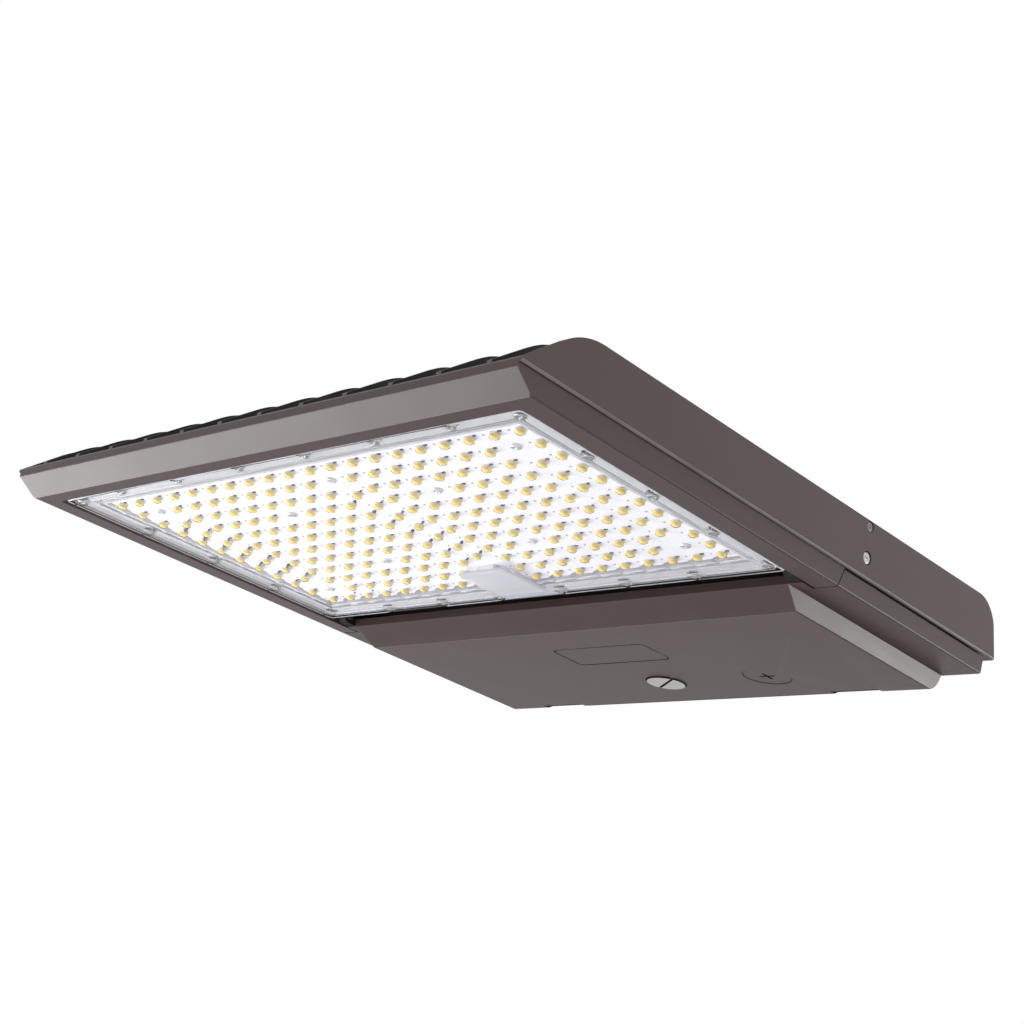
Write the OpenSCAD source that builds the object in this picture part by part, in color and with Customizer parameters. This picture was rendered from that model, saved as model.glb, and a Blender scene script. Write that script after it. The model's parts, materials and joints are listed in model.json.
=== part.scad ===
// Shoebox area light: a die-cast housing with a sealed LED light engine ahead of a
// driver compartment, which is closed from below by a hinged door with a turn fastener.
// Every piece is drawn on the bench, with its nose at y = 0 and the flat bezel at z = 0,
// and seat() then puts the origin at the centre of the arm mount on the rear face.

/* [Body] */
// Width over the side walls
body_w = 360; // [350:1:380]
// Length from the nose to the arm mount's face
body_l = 388.5; // [340:0.5:430]
// Height of the side walls above the bezel, at the nose end of their top edge
side_h = 38; // [38:0.5:44]
// Slope of the side walls' top edge, in degrees
top_slope = 0.54; // [0.2:0.01:0.8]
// Slope of the nose, in degrees
nose_angle = 38.5; // [34:0.5:44]
// Height at which the nose starts to slope back
nose_z = 12.3; // [11.5:0.1:14]
// Radius between the nose's slope and the top edge
shoulder_r = 40; // [25:1:50]
// Lean of the rear edge, in degrees
rear_lean = 10.6; // [4:0.1:12]
// Radius of the top rear corner
rear_r = 18; // [10:1:22]
// Thickness of the side walls
side_wall = 4; // [3:0.1:5]
// Thickness of the roof over the driver compartment, where it is thinnest
roof_t = 3.2; // [2.5:0.1:4]
// Thickness of the inner walls
inner_wall = 3; // [2.5:0.1:3.5]

/* [Bezel] */
// Width of the bezel beside the optic
bezel_w = 15.5; // [14.5:0.1:18]
// Depth of the bezel in front of the optic
bezel_front = 19.5; // [18:0.5:24]
// Length of the nose chamfer along the bezel
chamfer_l = 11.2; // [8:0.1:14]
// Height of the nose chamfer
chamfer_h = 8.1; // [6:0.1:9.5]
// Height of the lower edge of the side faces
ledge_z = 10.4; // [10:0.1:11]
// Inset of the lower band from the side faces
band_inset = 2.8; // [2:0.1:3.4]
// Radius of the band's lower edge
band_r = 1.2; // [0.8:0.1:5]

/* [Heat sink] */
// Depth of the optic's recess, up to the heat-sink plate
recess_h = 7.4; // [7.2:0.1:8]
// Thickness of the heat-sink plate
plate_t = 5; // [4.6:0.1:5.6]
// Thickness of a fin
fin_t = 3; // [2:0.1:4]
// Distance from fin to fin
fin_pitch = 29; // [20:0.5:35]
// How far the fins' tops lie below the side walls' top edge
fin_drop = 0; // [0:0.1:3]
// How far the fins' front ends stand above the nose's edge
fin_lead = 1.5; // [0:0.1:3]

/* [Light engine] */
// Gap between the optic and the bezel
optic_gap = 1.6; // [1:0.1:2]
// Depth of the optic's rim below the bezel plane
optic_sink = 1.2; // [0.8:0.1:1.4]
// Width of the optic's rim
rim_w = 9; // [8.5:0.1:10]
// Thickness of the optic's rim
rim_t = 2.4; // [2:0.1:2.6]
// Thickness of the lens plate
lens_t = 2; // [1.6:0.1:2.1]
// Radius of a lens
lens_r = 5.6; // [4:0.1:6]
// Height of a lens
lens_h = 1.3; // [0.8:0.1:1.4]
// Width of the optic's gasket
seal_w = 2.5; // [1.5:0.1:3]
// Thickness of the optic's gasket
seal_t = 1.2; // [0.8:0.1:1.6]
// Thickness of the thermal pad
pad_t = 0.3; // [0.2:0.05:0.4]
// Thickness of the LED board
board_t = 1.6; // [1.4:0.1:1.7]
// LED spacing across the board
led_px = 15; // [13:0.1:15]
// LED spacing along the board
led_py = 13.75; // [12:0.05:13.8]
// Side of an LED
led_w = 3; // [2:0.1:3.5]
// Height of an LED
led_h = 0.7; // [0.5:0.05:0.8]
// Width of the cover over the wires at the optic's rear edge
hump_w = 36; // [30:1:38]
// Diameter of the wire hole in the heat-sink plate
wire_hole_d = 11; // [10:0.5:12]
// Spacing of the rim screws along the nose
nose_screw_p = 47.5; // [44:0.5:50]
// Spacing of the rim screws along the rear
rear_screw_p = 44; // [42:0.5:50]
// Spacing of the rim screws along the sides
side_screw_p = 46; // [44:0.5:48]
// Diameter of the light engine's screws
small_d = 3.2; // [3:0.1:3.4]

/* [Door] */
// Length from the door's lip to the arm mount's face
rear_l = 159.5; // [150:0.5:175]
// Length of the open recess between the optic and the door
swing_l = 13.9; // [13:0.1:16]
// Distance from the door's lip to the seam beside it
lip_l = 8.6; // [7:0.1:9]
// Width of the seam round the door
seam = 0.7; // [0.5:0.05:0.9]
// Backward lean of the seam over the band's height
seam_lean = 3.1; // [2:0.1:3.5]
// Thickness of the door's walls
door_t = 2.8; // [2.5:0.1:3]
// Height of the door's upturned front lip
lip_h = 4.5; // [4:0.1:6]
// Depth of the door's belly below the bezel plane
belly_h = 9.3; // [8:0.1:10]
// Distance of the belly from the side faces, at its root
belly_inset = 25.3; // [24:0.1:28]
// Draft of the belly's sides
belly_draft = 3.2; // [2:0.1:5]
// Length of the belly's front slope
belly_slope = 14.2; // [12:0.1:16]
// Radius of the belly's rear edge
belly_r = 7; // [4:0.5:8]
// Distance of the door's rear edge from the arm mount's face
door_back = 9; // [8.5:0.1:10]
// Width of the door gasket
door_seal_w = 4.5; // [4:0.1:5]
// Thickness of the door gasket
door_seal_t = 2.5; // [2:0.1:3]
// Length of a finger notch in the door's rear edge
notch_l = 31; // [24:1:36]
// Distance of the finger notches from the middle
notch_x = 107; // [95:1:110]
// Depth of a finger notch
notch_h = 2; // [1:0.1:2.2]
// Length of the plain outlined field on the door
field_l = 66; // [50:1:76]
// Width of the plain outlined field on the door
field_w = 28; // [20:1:34]
// Distance of the plain outlined field ahead of the stud
field_lead = 52; // [46:1:58]

/* [Hinge] */
// Diameter of a hinge pin
pin_d = 4; // [3:0.1:4.4]
// Length of a hinge pin
pin_l = 15; // [14:0.5:16]
// Distance from the hinge axis back to the door's lip
hinge_lead = 5; // [4.6:0.1:5.5]
// Height of the hinge axis above the bezel plane
hinge_z = 4.6; // [4.5:0.1:5]
// Radius of a hinge ear
ear_r = 4.1; // [3.6:0.1:4.2]
// Thickness of a hinge ear
ear_t = 6; // [5:0.1:6.5]
// Running clearance of the pins and of the turn fastener, on the radius
run_fit = 0.05; // [0.03:0.01:0.08]

/* [Turn fastener] */
// Diameter of the slotted head
head_d = 22.5; // [18:0.5:24]
// Thickness of the slotted head
head_t = 2; // [1.6:0.1:2.1]
// How far the slotted head stands out of the door
head_out = 0.8; // [0.2:0.1:1.2]
// Width of the screwdriver slot
slot_w = 1.8; // [1.4:0.1:2.6]
// Direction of the screwdriver slot with the door locked, in degrees
slot_angle = -35; // [-90:1:90]
// Diameter of the stud
stud_d = 8; // [7:0.1:9]
// Distance of the stud from the door's rear edge
stud_back = 42.9; // [41:0.1:46]
// Clearance of the receptacle's hole round the stud
catch_gap = 2.5; // [2:0.1:3]
// Diameter of the receptacle's spring wire
spring_d = 1.6; // [1.2:0.1:2]
// Diameter of the closing plug
plug_d = 27; // [24:0.5:28]
// Distance of the closing plug from the stud
plug_x = 70.5; // [64:0.5:76]

/* [Driver compartment] */
// Thickness of the gear tray
tray_t = 1.5; // [1.2:0.1:2]
// Length of the LED driver
driver_l = 226; // [200:1:230]
// Gap between the door's opening and the LED driver
driver_gap = 3.5; // [2:0.5:6]
// Gap between the LED driver and the catch for the turn fastener
catch_lead = 9.6; // [6:0.1:14]
// Height of the LED driver
driver_h = 32; // [28:0.5:33]
// Length of the surge protector
surge_l = 62; // [50:1:66]
// Width of the surge protector
surge_w = 32; // [28:1:34]
// Height of the surge protector
surge_h = 25; // [20:0.5:26]
// Length of the terminal block
block_l = 42; // [36:1:46]
// Width of the terminal block
block_w = 22; // [18:1:24]
// Height of the terminal block
block_h = 17; // [14:0.5:18]
// Distance of the surge protector's middle from the side wall
surge_in = 64; // [58:1:70]
// Distance of the terminal block's middle from the side wall
block_in = 81; // [76:1:90]
// Distance of the ground screw from the side wall
ground_in = 36; // [30:1:42]
// Distance of the side screws from the door's lip
side_screw_y = 27.5; // [26:0.5:32]
// Height of the side screws
side_screw_z = 21; // [20:0.5:23]
// Height of the small upper screws below the side walls' top edge
upper_screw_drop = 3; // [2.9:0.1:3.4]
// Diameter of a wire over its insulation
wire_d = 2.4; // [1.8:0.1:2.6]

/* [Arm mount] */
// Spacing of the two mounting bolts
bolt_p = 70; // [60:1:80]
// Diameter of the bolt holes
bolt_hole_d = 9; // [8.5:0.5:11]
// Diameter of the wire entry
entry_d = 22; // [18:0.5:24]
// Height of the arm mount's centre above the bezel plane
mount_z = 24; // [23:0.5:26]
// Width of the mounting pad
pad_w = 120; // [110:1:140]

/* [Hidden] */
$fn = 32;
cut = 1;            // how far a cutting solid runs past the face that it opens
rest = 0.15;        // gap between faces that rest on each other across a joint
slip = 0.3;         // gap round a piece that drops into place
tap = 0.1;          // radial gap between a screw and its tapped hole
half_w = body_w / 2;
inner_x = half_w - side_wall;

// the outline of the side walls, seen from the side
shoulder_y = (side_h - nose_z) / (tan(nose_angle) - tan(top_slope));
shoulder_z = nose_z + shoulder_y * tan(nose_angle);
foot_y = body_l - 0.5;
top_y = (foot_y - (side_h - ledge_z) * tan(rear_lean)) / (1 + tan(top_slope) * tan(rear_lean));
function top_z(y) = side_h + y * tan(top_slope);

// the optic's opening and the heat-sink plate
open_x = half_w - bezel_w;
optic_x = open_x - optic_gap;
optic_y0 = bezel_front + optic_gap;
lip_y = body_l - rear_l;
optic_y1 = lip_y - swing_l;
plate_top = recess_h + plate_t;
lens_z = optic_sink + 0.4;
pad_z = recess_h - pad_t;
board_z = pad_z - board_t;
led_z = board_z - led_h;

// screws round the optic's rim
rim_screw_in = 6.5;
rim_x = optic_x - rim_screw_in;
rim_y0 = optic_y0 + rim_screw_in;
rim_y1 = optic_y1 - rim_screw_in;
rim_mid = (rim_y0 + rim_y1) / 2;
rim_screws = concat(
    [for (k = [-5 : 2 : 5]) [k * nose_screw_p / 2, optic_y0 + 3.5]],
    [for (k = [-5 : 2 : 5]) [k * rear_screw_p / 2, optic_y1 - 3.5]],
    [for (s = [-1, 1], k = [-1 : 1]) [s * rim_x, rim_mid + k * side_screw_p]],
    [for (s = [-1, 1], y = [rim_y0, rim_y1]) [s * rim_x, y]]);
boss_r = 3.8;

// the seal inside the screws, and the board inside the seal
seal_in = rim_w + 1.5;
board_in = seal_in + seal_w + 1.5;
board_x = optic_x - board_in;
board_y0 = optic_y0 + board_in;
board_y1 = optic_y1 - board_in;
wire_y = board_y1 - 8;
board_notch = 9;
plug_in = 1.2;      // gap between the notch and the LED connector
plug_l = 6.6;       // length of the LED connector
hump_t = 1.8;       // wall of the cover over the wires
hump_r = 5;
sink_r = 3.3;       // counterbore for the head of a rim screw
sink_h = 1.3;
wire_hole_r = wire_d / 2 + 0.1;
hump_y0 = wire_y - board_notch - plug_in - plug_l - hump_t - 0.4;

// the LED pattern: as many rows and columns as the board holds, with gaps for the board's
// screws, and two rear rows that are set apart by the cover over the wires
led_margin = 4;
half_cols = floor((board_x - led_margin) / led_px + 0.5);
last_col = 2 * half_cols - 1;
last_row = floor((board_y1 - board_y0 - 3 * led_margin) / led_py);
led_y0 = board_y0 + (board_y1 - board_y0 - last_row * led_py) / 2 + 0.5;
function col_x(i) = (i - last_col / 2) * led_px;
function row_y(j) = led_y0 + j * led_py;
narrow_cols = [1, half_cols, last_col - 1];
narrow_start = 2.3;
narrow_step = 1.045;
screw_cols = [half_cols - 4, half_cols + 3];
screw_rows = [3, last_row - 3];
function is_in(v, list) = len([for (e = list) if (e == v) 1]) > 0;
board_screws = concat(
    [for (i = narrow_cols) [col_x(i), row_y(1)]],
    [for (i = screw_cols, j = screw_rows) [col_x(i), row_y(j)]],
    [for (i = [1, last_col - 1]) [col_x(i), row_y(last_row - 1)]]);
leds_at = concat(
    [for (i = [0 : last_col]) [col_x(i), row_y(0)]],
    [for (i = [0 : last_col], j = [1 : last_row - 2])
        if (!is_in(i, narrow_cols) && !(is_in(i, screw_cols) && is_in(j, screw_rows)))
            [col_x(i), row_y(j)]],
    [for (i = narrow_cols, k = [0 : last_row - 5])
        [col_x(i), row_y(narrow_start) + k * led_py * narrow_step]],
    [for (s = [-1, 1], k = [0 : half_cols - 4])
        [s * led_px * (1.35 + 0.98 * k), row_y(last_row - 1)]],
    [for (i = [0, last_col]) [col_x(i), row_y(last_row - 1)]],
    [for (s = [-1, 1], k = [0 : half_cols - 2]) [s * led_px * (1.3 + k), row_y(last_row)]]);

// the door and the recess ahead of it
seam_y = lip_y + lip_l;
rim_front = seam_y + 5.4;
swing_z = 13;
door_end = body_l - door_back;
band_x = half_w - band_inset;
belly_x = half_w - belly_inset;
ring_x = band_x - door_t - 2;
ring_y1 = door_end - door_t - 2.5;
ring_z = door_t + door_seal_t + rest;
door_top = ledge_z - 1;

// the driver compartment
comp_y0 = wire_y - 13;
comp_y1 = body_l - 8.5;
ceiling_z = top_z(comp_y0) - roof_t;
ledge_t = inner_wall;
tray_z = ceiling_z - 0.1 - tray_t;
fins_y0 = 3;
fins_y1 = comp_y0 - inner_wall;
tray_y0 = rim_front + 6;
inner_rear_r = 8;
tray_y1 = comp_y1 - inner_rear_r;
tab_w = 18;         // width of the tray's turned-down tabs
screw_y = lip_y + side_screw_y;
side_d = 4;
side_head_r = 3.4;
side_head_t = 1.5;
upper_z = top_z(screw_y) - upper_screw_drop;
upper_d = 2.6;
upper_head_r = 2.7;
upper_sink = 1.2;   // depth of the seat for an upper screw's head

// the hinge and the turn fastener
hinge_y = lip_y - hinge_lead;
ear_x1 = open_x - 1.5;
ear_x0 = ear_x1 - ear_t;
pin_x1 = ear_x0 - 1 + pin_l;
stud_y = door_end - stud_back;
belly_floor = -belly_h + door_t;
head_z = -belly_h - head_out;
head_gap = 0.9;     // gap round the head in its seat
slot_h = 1.2;
stud_top = 14.5;
boss_top = 1.2;
plug_y = stud_y + 0.4;
cross_l = 10;       // cross recess in the closing plug
cross_w = 1.8;
catch_t = 1.5;
catch_z = 11.3;
catch_x = 15;
catch_w = 24;

// things carried by the gear tray
driver_y0 = rim_front + door_seal_w + driver_gap;
driver_y1 = stud_y - catch_w / 2 - catch_lead;
driver_w = driver_y1 - driver_y0;
driver_y = (driver_y0 + driver_y1) / 2;
driver_ear = 12;
driver_z = tray_z - driver_h;
bay_y = (driver_y1 + comp_y1) / 2;
surge_x = inner_x - surge_in;
block_x = -inner_x + block_in;
ground_x = -inner_x + ground_in;
ground_d = 4;
ground_head_r = 4.2;
ground_head_h = 3.2;
tray_hole_r = 1.8;  // holes in the tray, and in the feet of what it carries
foot_hole_r = 1.9;
surge_ear = 10;
lead_z = driver_z + 12;
surge_lead_z = tray_z - 14;
pole_pitch = 9.6;   // from pole to pole of the terminal block
pole_y = 5.5;       // from the block's middle to its rows of screws
pole_z = tray_z - block_h + 8.5;

// ---- outlines and placing ----

function unit(v) = v / norm(v);
function flat(p) = [p[0], p[1]];
function turned(a, b) = b - a > 180 ? b - a - 360 : (b - a < -180 ? b - a + 360 : b - a);
function bearing(c, p) = atan2(p[1] - c[1], p[0] - c[0]);
function arc(a, b, c, r, n) =
    let (u = unit(a - b), v = unit(c - b), half = acos(u * v) / 2,
         m = b + unit(u + v) * r / sin(half),
         a0 = bearing(m, b + u * r / tan(half)),
         a1 = bearing(m, b + v * r / tan(half)))
    [for (i = [0 : n]) m + r * [cos(a0 + turned(a0, a1) * i / n), sin(a0 + turned(a0, a1) * i / n)]];
// points given as [x, y, corner radius], with an arc at each corner that has a radius
function rounded(p, n = 6) = [for (i = [0 : len(p) - 1]) each
    (p[i][2] > 0
        ? arc(flat(p[(i + len(p) - 1) % len(p)]), flat(p[i]), flat(p[(i + 1) % len(p)]), p[i][2], n)
        : [flat(p[i])])];

module seat() translate([0, -body_l, -mount_z]) children();
module along_x(x0, x1) translate([x0, 0, 0]) rotate([90, 0, 90]) linear_extrude(x1 - x0) children();
module along_y(y0, y1) translate([0, y1, 0]) rotate([90, 0, 0]) linear_extrude(y1 - y0) children();
module block(x0, x1, y0, y1, z0, z1) translate([x0, y0, z0]) cube([x1 - x0, y1 - y0, z1 - z0]);
module plate(x0, x1, y0, y1, z0, z1, r)
    translate([0, 0, z0]) linear_extrude(z1 - z0)
        polygon(rounded([[x0, y0, r], [x1, y0, r], [x1, y1, r], [x0, y1, r]]));
module frame(x, y0, y1, z0, z1, w, r) difference() {
    plate(-x, x, y0, y1, z0, z1, r);
    plate(-x + w, x - w, y0 + w, y1 - w, z0 - cut, z1 + cut, max(r - w, 0.5));
}
module rod(x, y, z0, z1, r, fn = 32) translate([x, y, z0]) cylinder(h = z1 - z0, r = r, $fn = fn);
module rod_x(x0, x1, y, z, r) translate([x0, y, z]) rotate([0, 90, 0]) cylinder(h = x1 - x0, r = r);
module rod_y(x, y0, y1, z, r) translate([x, y1, z]) rotate([90, 0, 0]) cylinder(h = y1 - y0, r = r);
module both_sides() { children(); mirror([1, 0, 0]) children(); }

// ---- housing ----

// the side walls' outline down to the height z0, lowered by drop, its nose raised by lead
module side_outline(z0, drop, lead) translate([0, -drop]) polygon(rounded([
    [0, z0, 0], [0, nose_z + lead, 0.8], [shoulder_y, shoulder_z, shoulder_r],
    [top_y, top_z(top_y), rear_r], [foot_y, ledge_z, 0.8], [foot_y, z0, 0]], 10));
// the whole body seen from the side: chamfered nose, bezel, slanted seam, ledge over the door
module body_outline() difference() {
    side_outline(0, 0, 0);
    polygon([[-cut, -cut], [chamfer_l, -cut], [chamfer_l, 0], [0, chamfer_h], [-cut, chamfer_h]]);
    polygon([[seam_y - seam_lean * cut / ledge_z, -cut], [seam_y + seam_lean, ledge_z],
             [body_l + cut, ledge_z], [body_l + cut, -cut]]);
}
// the body seen from the nose, with the lower band set in under the side faces
module body_section() polygon(rounded([
    [-half_w, side_h + 20, 0], [-half_w, ledge_z + 0.8, 0], [-half_w + 0.9, ledge_z, 0],
    [-half_w + band_inset - 1, ledge_z, 0], [-band_x, 0, band_r],
    [band_x, 0, band_r], [half_w - band_inset + 1, ledge_z, 0],
    [half_w - 0.9, ledge_z, 0], [half_w, ledge_z + 0.8, 0], [half_w, side_h + 20, 0]]));

module fins() {
    count = floor((inner_x - fin_t) / fin_pitch + 0.5);
    intersection() {
        union() for (k = [0.5 : 1 : count], s = [-1, 1])
            block(s * k * fin_pitch - fin_t / 2, s * k * fin_pitch + fin_t / 2,
                  fins_y0 - cut, fins_y1 + cut, plate_top - cut, side_h + 20);
        along_x(-inner_x, inner_x) side_outline(0, fin_drop, fin_lead);
    }
}

module compartment() {
    // over the heat-sink plate, and over the recess that the door's lip swings in
    block(-inner_x, inner_x, comp_y0, optic_y1 - inner_wall, plate_top, ceiling_z);
    block(-inner_x, inner_x, comp_y0, rim_front + inner_wall, swing_z + inner_wall, ceiling_z);
    // behind them, above the ledge that stands over the door, rounded under the top rear corner
    along_x(-inner_x, inner_x) polygon(rounded([
        [rim_front + inner_wall - cut, ledge_z + ledge_t, 0], [comp_y1, ledge_z + ledge_t, 0],
        [comp_y1, ceiling_z, inner_rear_r], [rim_front + inner_wall - cut, ceiling_z, 0]], 8));
    // the opening that the door closes
    plate(-ring_x + door_seal_w, ring_x - door_seal_w, rim_front + door_seal_w,
          ring_y1 - door_seal_w, -cut, ledge_z + ledge_t + cut, 3);
}

module housing() color("#5b5150") seat() difference() {
    union() {
        difference() {
            intersection() {
                along_x(-half_w, half_w) body_outline();
                along_y(0, body_l) body_section();
            }
            block(-inner_x, inner_x, fins_y0, fins_y1, plate_top, side_h + 20);
        }
        fins();
        // rim that the door gasket meets, and the pad for the arm
        plate(-ring_x, ring_x, rim_front, ring_y1, ring_z, ledge_z + cut, 4);
        block(-pad_w / 2, pad_w / 2, comp_y1 - cut, body_l, ledge_z, ceiling_z);
    }
    compartment();
    // the optic's recess, and the recess that the door's lip swings in
    plate(-open_x, open_x, bezel_front, rim_front - cut, -cut, recess_h, 2);
    block(-open_x, open_x, optic_y1 + 1, rim_front, -cut, swing_z);
    // tapped holes for the optic and the board
    for (p = rim_screws) rod(p[0], p[1], recess_h - cut, recess_h + 4, small_d / 2 + tap);
    for (p = board_screws) rod(p[0], p[1], recess_h - cut, recess_h + 4, small_d / 2 + tap);
    rod(0, wire_y, recess_h - cut, plate_top + cut, wire_hole_d / 2);
    both_sides() {
        rod_x(ear_x1, pin_x1 + 0.5, hinge_y, hinge_z, pin_d / 2 + run_fit);
        rod_x(inner_x - cut, half_w + cut, screw_y, side_screw_z, side_d / 2 + 0.2);
        rod_x(half_w - side_head_t - 0.2, half_w + cut, screw_y, side_screw_z, side_head_r + 0.2);
        rod_x(half_w - side_wall + 0.2, half_w + cut, screw_y, upper_z, upper_d / 2 + tap);
        rod_x(half_w - upper_sink, half_w + cut, screw_y, upper_z, upper_head_r + 0.2);
        rod_y(bolt_p / 2, comp_y1 - cut, body_l + cut, mount_z, bolt_hole_d / 2);
    }
    rod_y(0, comp_y1 - cut, body_l + cut, mount_z, entry_d / 2);
}

// ---- screws ----

// a pan-head screw along +Z, its head's underside at the origin, with a cross recess
module screw(d, l, head_r, head_h) difference() {
    union() {
        cylinder(h = l, r = d / 2, $fn = 24);
        translate([0, 0, -head_h]) cylinder(h = head_h, r = head_r, $fn = 24);
    }
    for (a = [0, 90]) rotate(a)
        translate([-head_r * 0.55, -head_r * 0.12, -head_h - cut])
            cube([head_r * 1.1, head_r * 0.24, cut + head_h * 0.5]);
}

module side_screws() color("#6d6462") seat() both_sides()
    translate([half_w - side_head_t - 0.2, screw_y, side_screw_z]) rotate([0, -90, 0])
        screw(side_d, side_wall + tray_t + 2, side_head_r, side_head_t);

module upper_screws() color("#4a4241") seat() both_sides()
    translate([half_w - upper_sink, screw_y, upper_z]) rotate([0, -90, 0])
        screw(upper_d, side_wall - upper_sink - 0.4, upper_head_r, 1);

module optic_screws() color("#b9b6b3") seat() for (p = rim_screws)
    translate([p[0], p[1], optic_sink + sink_h]) screw(small_d, recess_h + 2.2 - optic_sink, 3, 1.5);

module board_screws() color("#a9a6a3") seat() for (p = board_screws)
    translate([p[0], p[1], board_z]) screw(small_d, board_t + pad_t + 3.5, 2.8, 1.4);

// ---- light engine ----

module board_shape() difference() {
    polygon(rounded([[-board_x, board_y0, 2], [board_x, board_y0, 2],
                     [board_x, board_y1, 2], [-board_x, board_y1, 2]]));
    translate([-board_notch, wire_y - board_notch]) square([2 * board_notch, board_y1]);
    for (p = board_screws) translate(p) circle(r = small_d / 2 + 0.2, $fn = 20);
}

module thermal_pad() color("#9fa3a6") seat()
    translate([0, 0, pad_z]) linear_extrude(pad_t) board_shape();

module led_board() color("#f2f2f4") seat()
    translate([0, 0, board_z]) linear_extrude(board_t) board_shape();

module leds() color("#f3dc7a") seat() for (p = leds_at)
    block(p[0] - led_w / 2, p[0] + led_w / 2, p[1] - led_w / 2, p[1] + led_w / 2, led_z, board_z);

module led_connector() color("#e9e7e0") seat() difference() {
    block(-6, 6, wire_y - board_notch - plug_in - plug_l, wire_y - board_notch - plug_in,
          board_z - 3.6, board_z);
    for (s = [-1, 1]) rod_y(s * 2, wire_y - board_notch - 5, wire_y - board_notch, board_z - 1.8,
                            wire_hole_r);
}

module optic_panel() color("#e8e8f2", 0.6) seat() difference() {
    union() {
        plate(-optic_x, optic_x, optic_y0, optic_y1, lens_z, lens_z + lens_t, 2);
        frame(optic_x, optic_y0, optic_y1, optic_sink, optic_sink + rim_t, rim_w, 2);
        // ridges round the rim, and the wall that carries the seal
        frame(optic_x - 0.8, optic_y0 + 0.8, optic_y1 - 0.8, optic_sink - 0.5, lens_z, 1.2, 2);
        frame(optic_x - rim_w + 1, optic_y0 + rim_w - 1, optic_y1 - rim_w + 1,
              optic_sink - 0.5, lens_z, 1.2, 2);
        frame(optic_x - seal_in + 0.5, optic_y0 + seal_in - 0.5, optic_y1 - seal_in + 0.5,
              lens_z, recess_h - seal_t, seal_w + 1, 1);
        for (p = rim_screws) rod(p[0], p[1], optic_sink, recess_h - 0.2, boss_r);
        for (p = leds_at) translate([p[0], p[1], lens_z - lens_h])
            cylinder(h = lens_h + 0.3, r1 = lens_r * 0.55, r2 = lens_r, $fn = 20);
        // cover over the wires
        plate(-hump_w / 2, hump_w / 2, hump_y0, optic_y1 - rim_w + 2, -0.4, lens_z + 0.5, hump_r);
    }
    plate(-hump_w / 2 + hump_t, hump_w / 2 - hump_t, hump_y0 + hump_t, board_y1,
          1, lens_z + lens_t + cut, hump_r - 1);
    for (p = rim_screws) {
        rod(p[0], p[1], optic_sink - 2, recess_h + cut, small_d / 2 + 0.2, 20);
        rod(p[0], p[1], optic_sink - 2, optic_sink + sink_h, sink_r, 20);
    }
}

module optic_gasket() color("#c9c9c9") seat()
    frame(optic_x - seal_in, optic_y0 + seal_in, optic_y1 - seal_in,
          recess_h - seal_t, recess_h, seal_w, 1);

module wire_grommet() color("#1d1d1d") seat() difference() {
    union() {
        rod(0, wire_y, recess_h - 1, plate_top + 1.5, wire_hole_d / 2 - 0.1);
        rod(0, wire_y, recess_h - 1, recess_h, wire_hole_d / 2 + 1);
        rod(0, wire_y, plate_top, plate_top + 1.5, wire_hole_d / 2 + 1.5);
    }
    for (s = [-1, 1]) rod(s * 2, wire_y, recess_h - 2, plate_top + 3, wire_hole_r);
}

// ---- gear tray and what it carries ----

module gear_tray() color("#b4b6b5") seat() difference() {
    union() {
        block(-inner_x + slip, inner_x - slip, tray_y0, tray_y1, tray_z, tray_z + tray_t);
        both_sides() block(inner_x - slip - tray_t, inner_x - slip, screw_y - tab_w / 2, screw_y + tab_w / 2,
                           side_screw_z - 5, tray_z + tray_t);
    }
    both_sides() rod_x(inner_x - 5, inner_x + cut, screw_y, side_screw_z, side_d / 2 + tap);
    for (p = driver_holes) rod(p[0], p[1], tray_z - cut, tray_z + tray_t + cut, tray_hole_r);
    for (p = surge_holes) rod(p[0], p[1], tray_z - cut, tray_z + tray_t + cut, tray_hole_r);
    for (p = block_holes) rod(p[0], p[1], tray_z - cut, tray_z + tray_t + cut, tray_hole_r);
    for (p = catch_holes) rod(p[0], p[1], tray_z - cut, tray_z + tray_t + cut, tray_hole_r);
    rod(ground_x, bay_y, tray_z - cut, tray_z + tray_t + cut, ground_d / 2 + tap);
}

driver_holes = [for (s = [-1, 1], t = [-1, 1])
    [s * (driver_l / 2 + driver_ear / 2), driver_y + t * (driver_w / 2 - 8)]];
surge_holes = [for (s = [-1, 1]) [surge_x + s * (surge_l + surge_ear) / 2, bay_y]];
block_holes = [for (s = [-1, 1]) [block_x + s * (block_l / 2 - 3.5), bay_y]];
catch_holes = [for (s = [-1, 1], t = [-1, 1]) [s * (catch_x + 5.5), stud_y + t * 6]];

module tray_screw(p, under) translate([p[0], p[1], under]) screw(3.4, tray_z + tray_t - under, 3, 1.8);

module driver_case() color("#d6d7d8") seat() difference() {
    union() {
        along_x(-driver_l / 2, driver_l / 2) polygon(rounded([
            [driver_y - driver_w / 2, driver_z, 3], [driver_y + driver_w / 2, driver_z, 3],
            [driver_y + driver_w / 2, tray_z, 0], [driver_y - driver_w / 2, tray_z, 0]]));
        plate(-driver_l / 2 - driver_ear, driver_l / 2 + driver_ear, driver_y - driver_w / 2 + 2,
              driver_y + driver_w / 2 - 2, tray_z - 2, tray_z, 3);
    }
    for (p = driver_holes) rod(p[0], p[1], tray_z - 3, tray_z + cut, foot_hole_r);
    // wire sockets in the ends
    for (k = [-1 : 1]) rod_x(-driver_l / 2 - cut, -driver_l / 2 + 6, driver_y + 6 * k,
                             lead_z, wire_hole_r);
    for (s = [-1, 1]) rod_x(driver_l / 2 - 6, driver_l / 2 + cut, driver_y + 4 * s,
                            lead_z, wire_hole_r);
}

module driver_screws() color("#b9b6b3") seat() for (p = driver_holes) tray_screw(p, tray_z - 2);

module driver_label_plate() color("#f4f4f2") seat()
    plate(-driver_l * 0.3, driver_l * 0.3, driver_y - driver_w * 0.3, driver_y + driver_w * 0.3,
          driver_z - 0.3, driver_z, 2);

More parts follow.
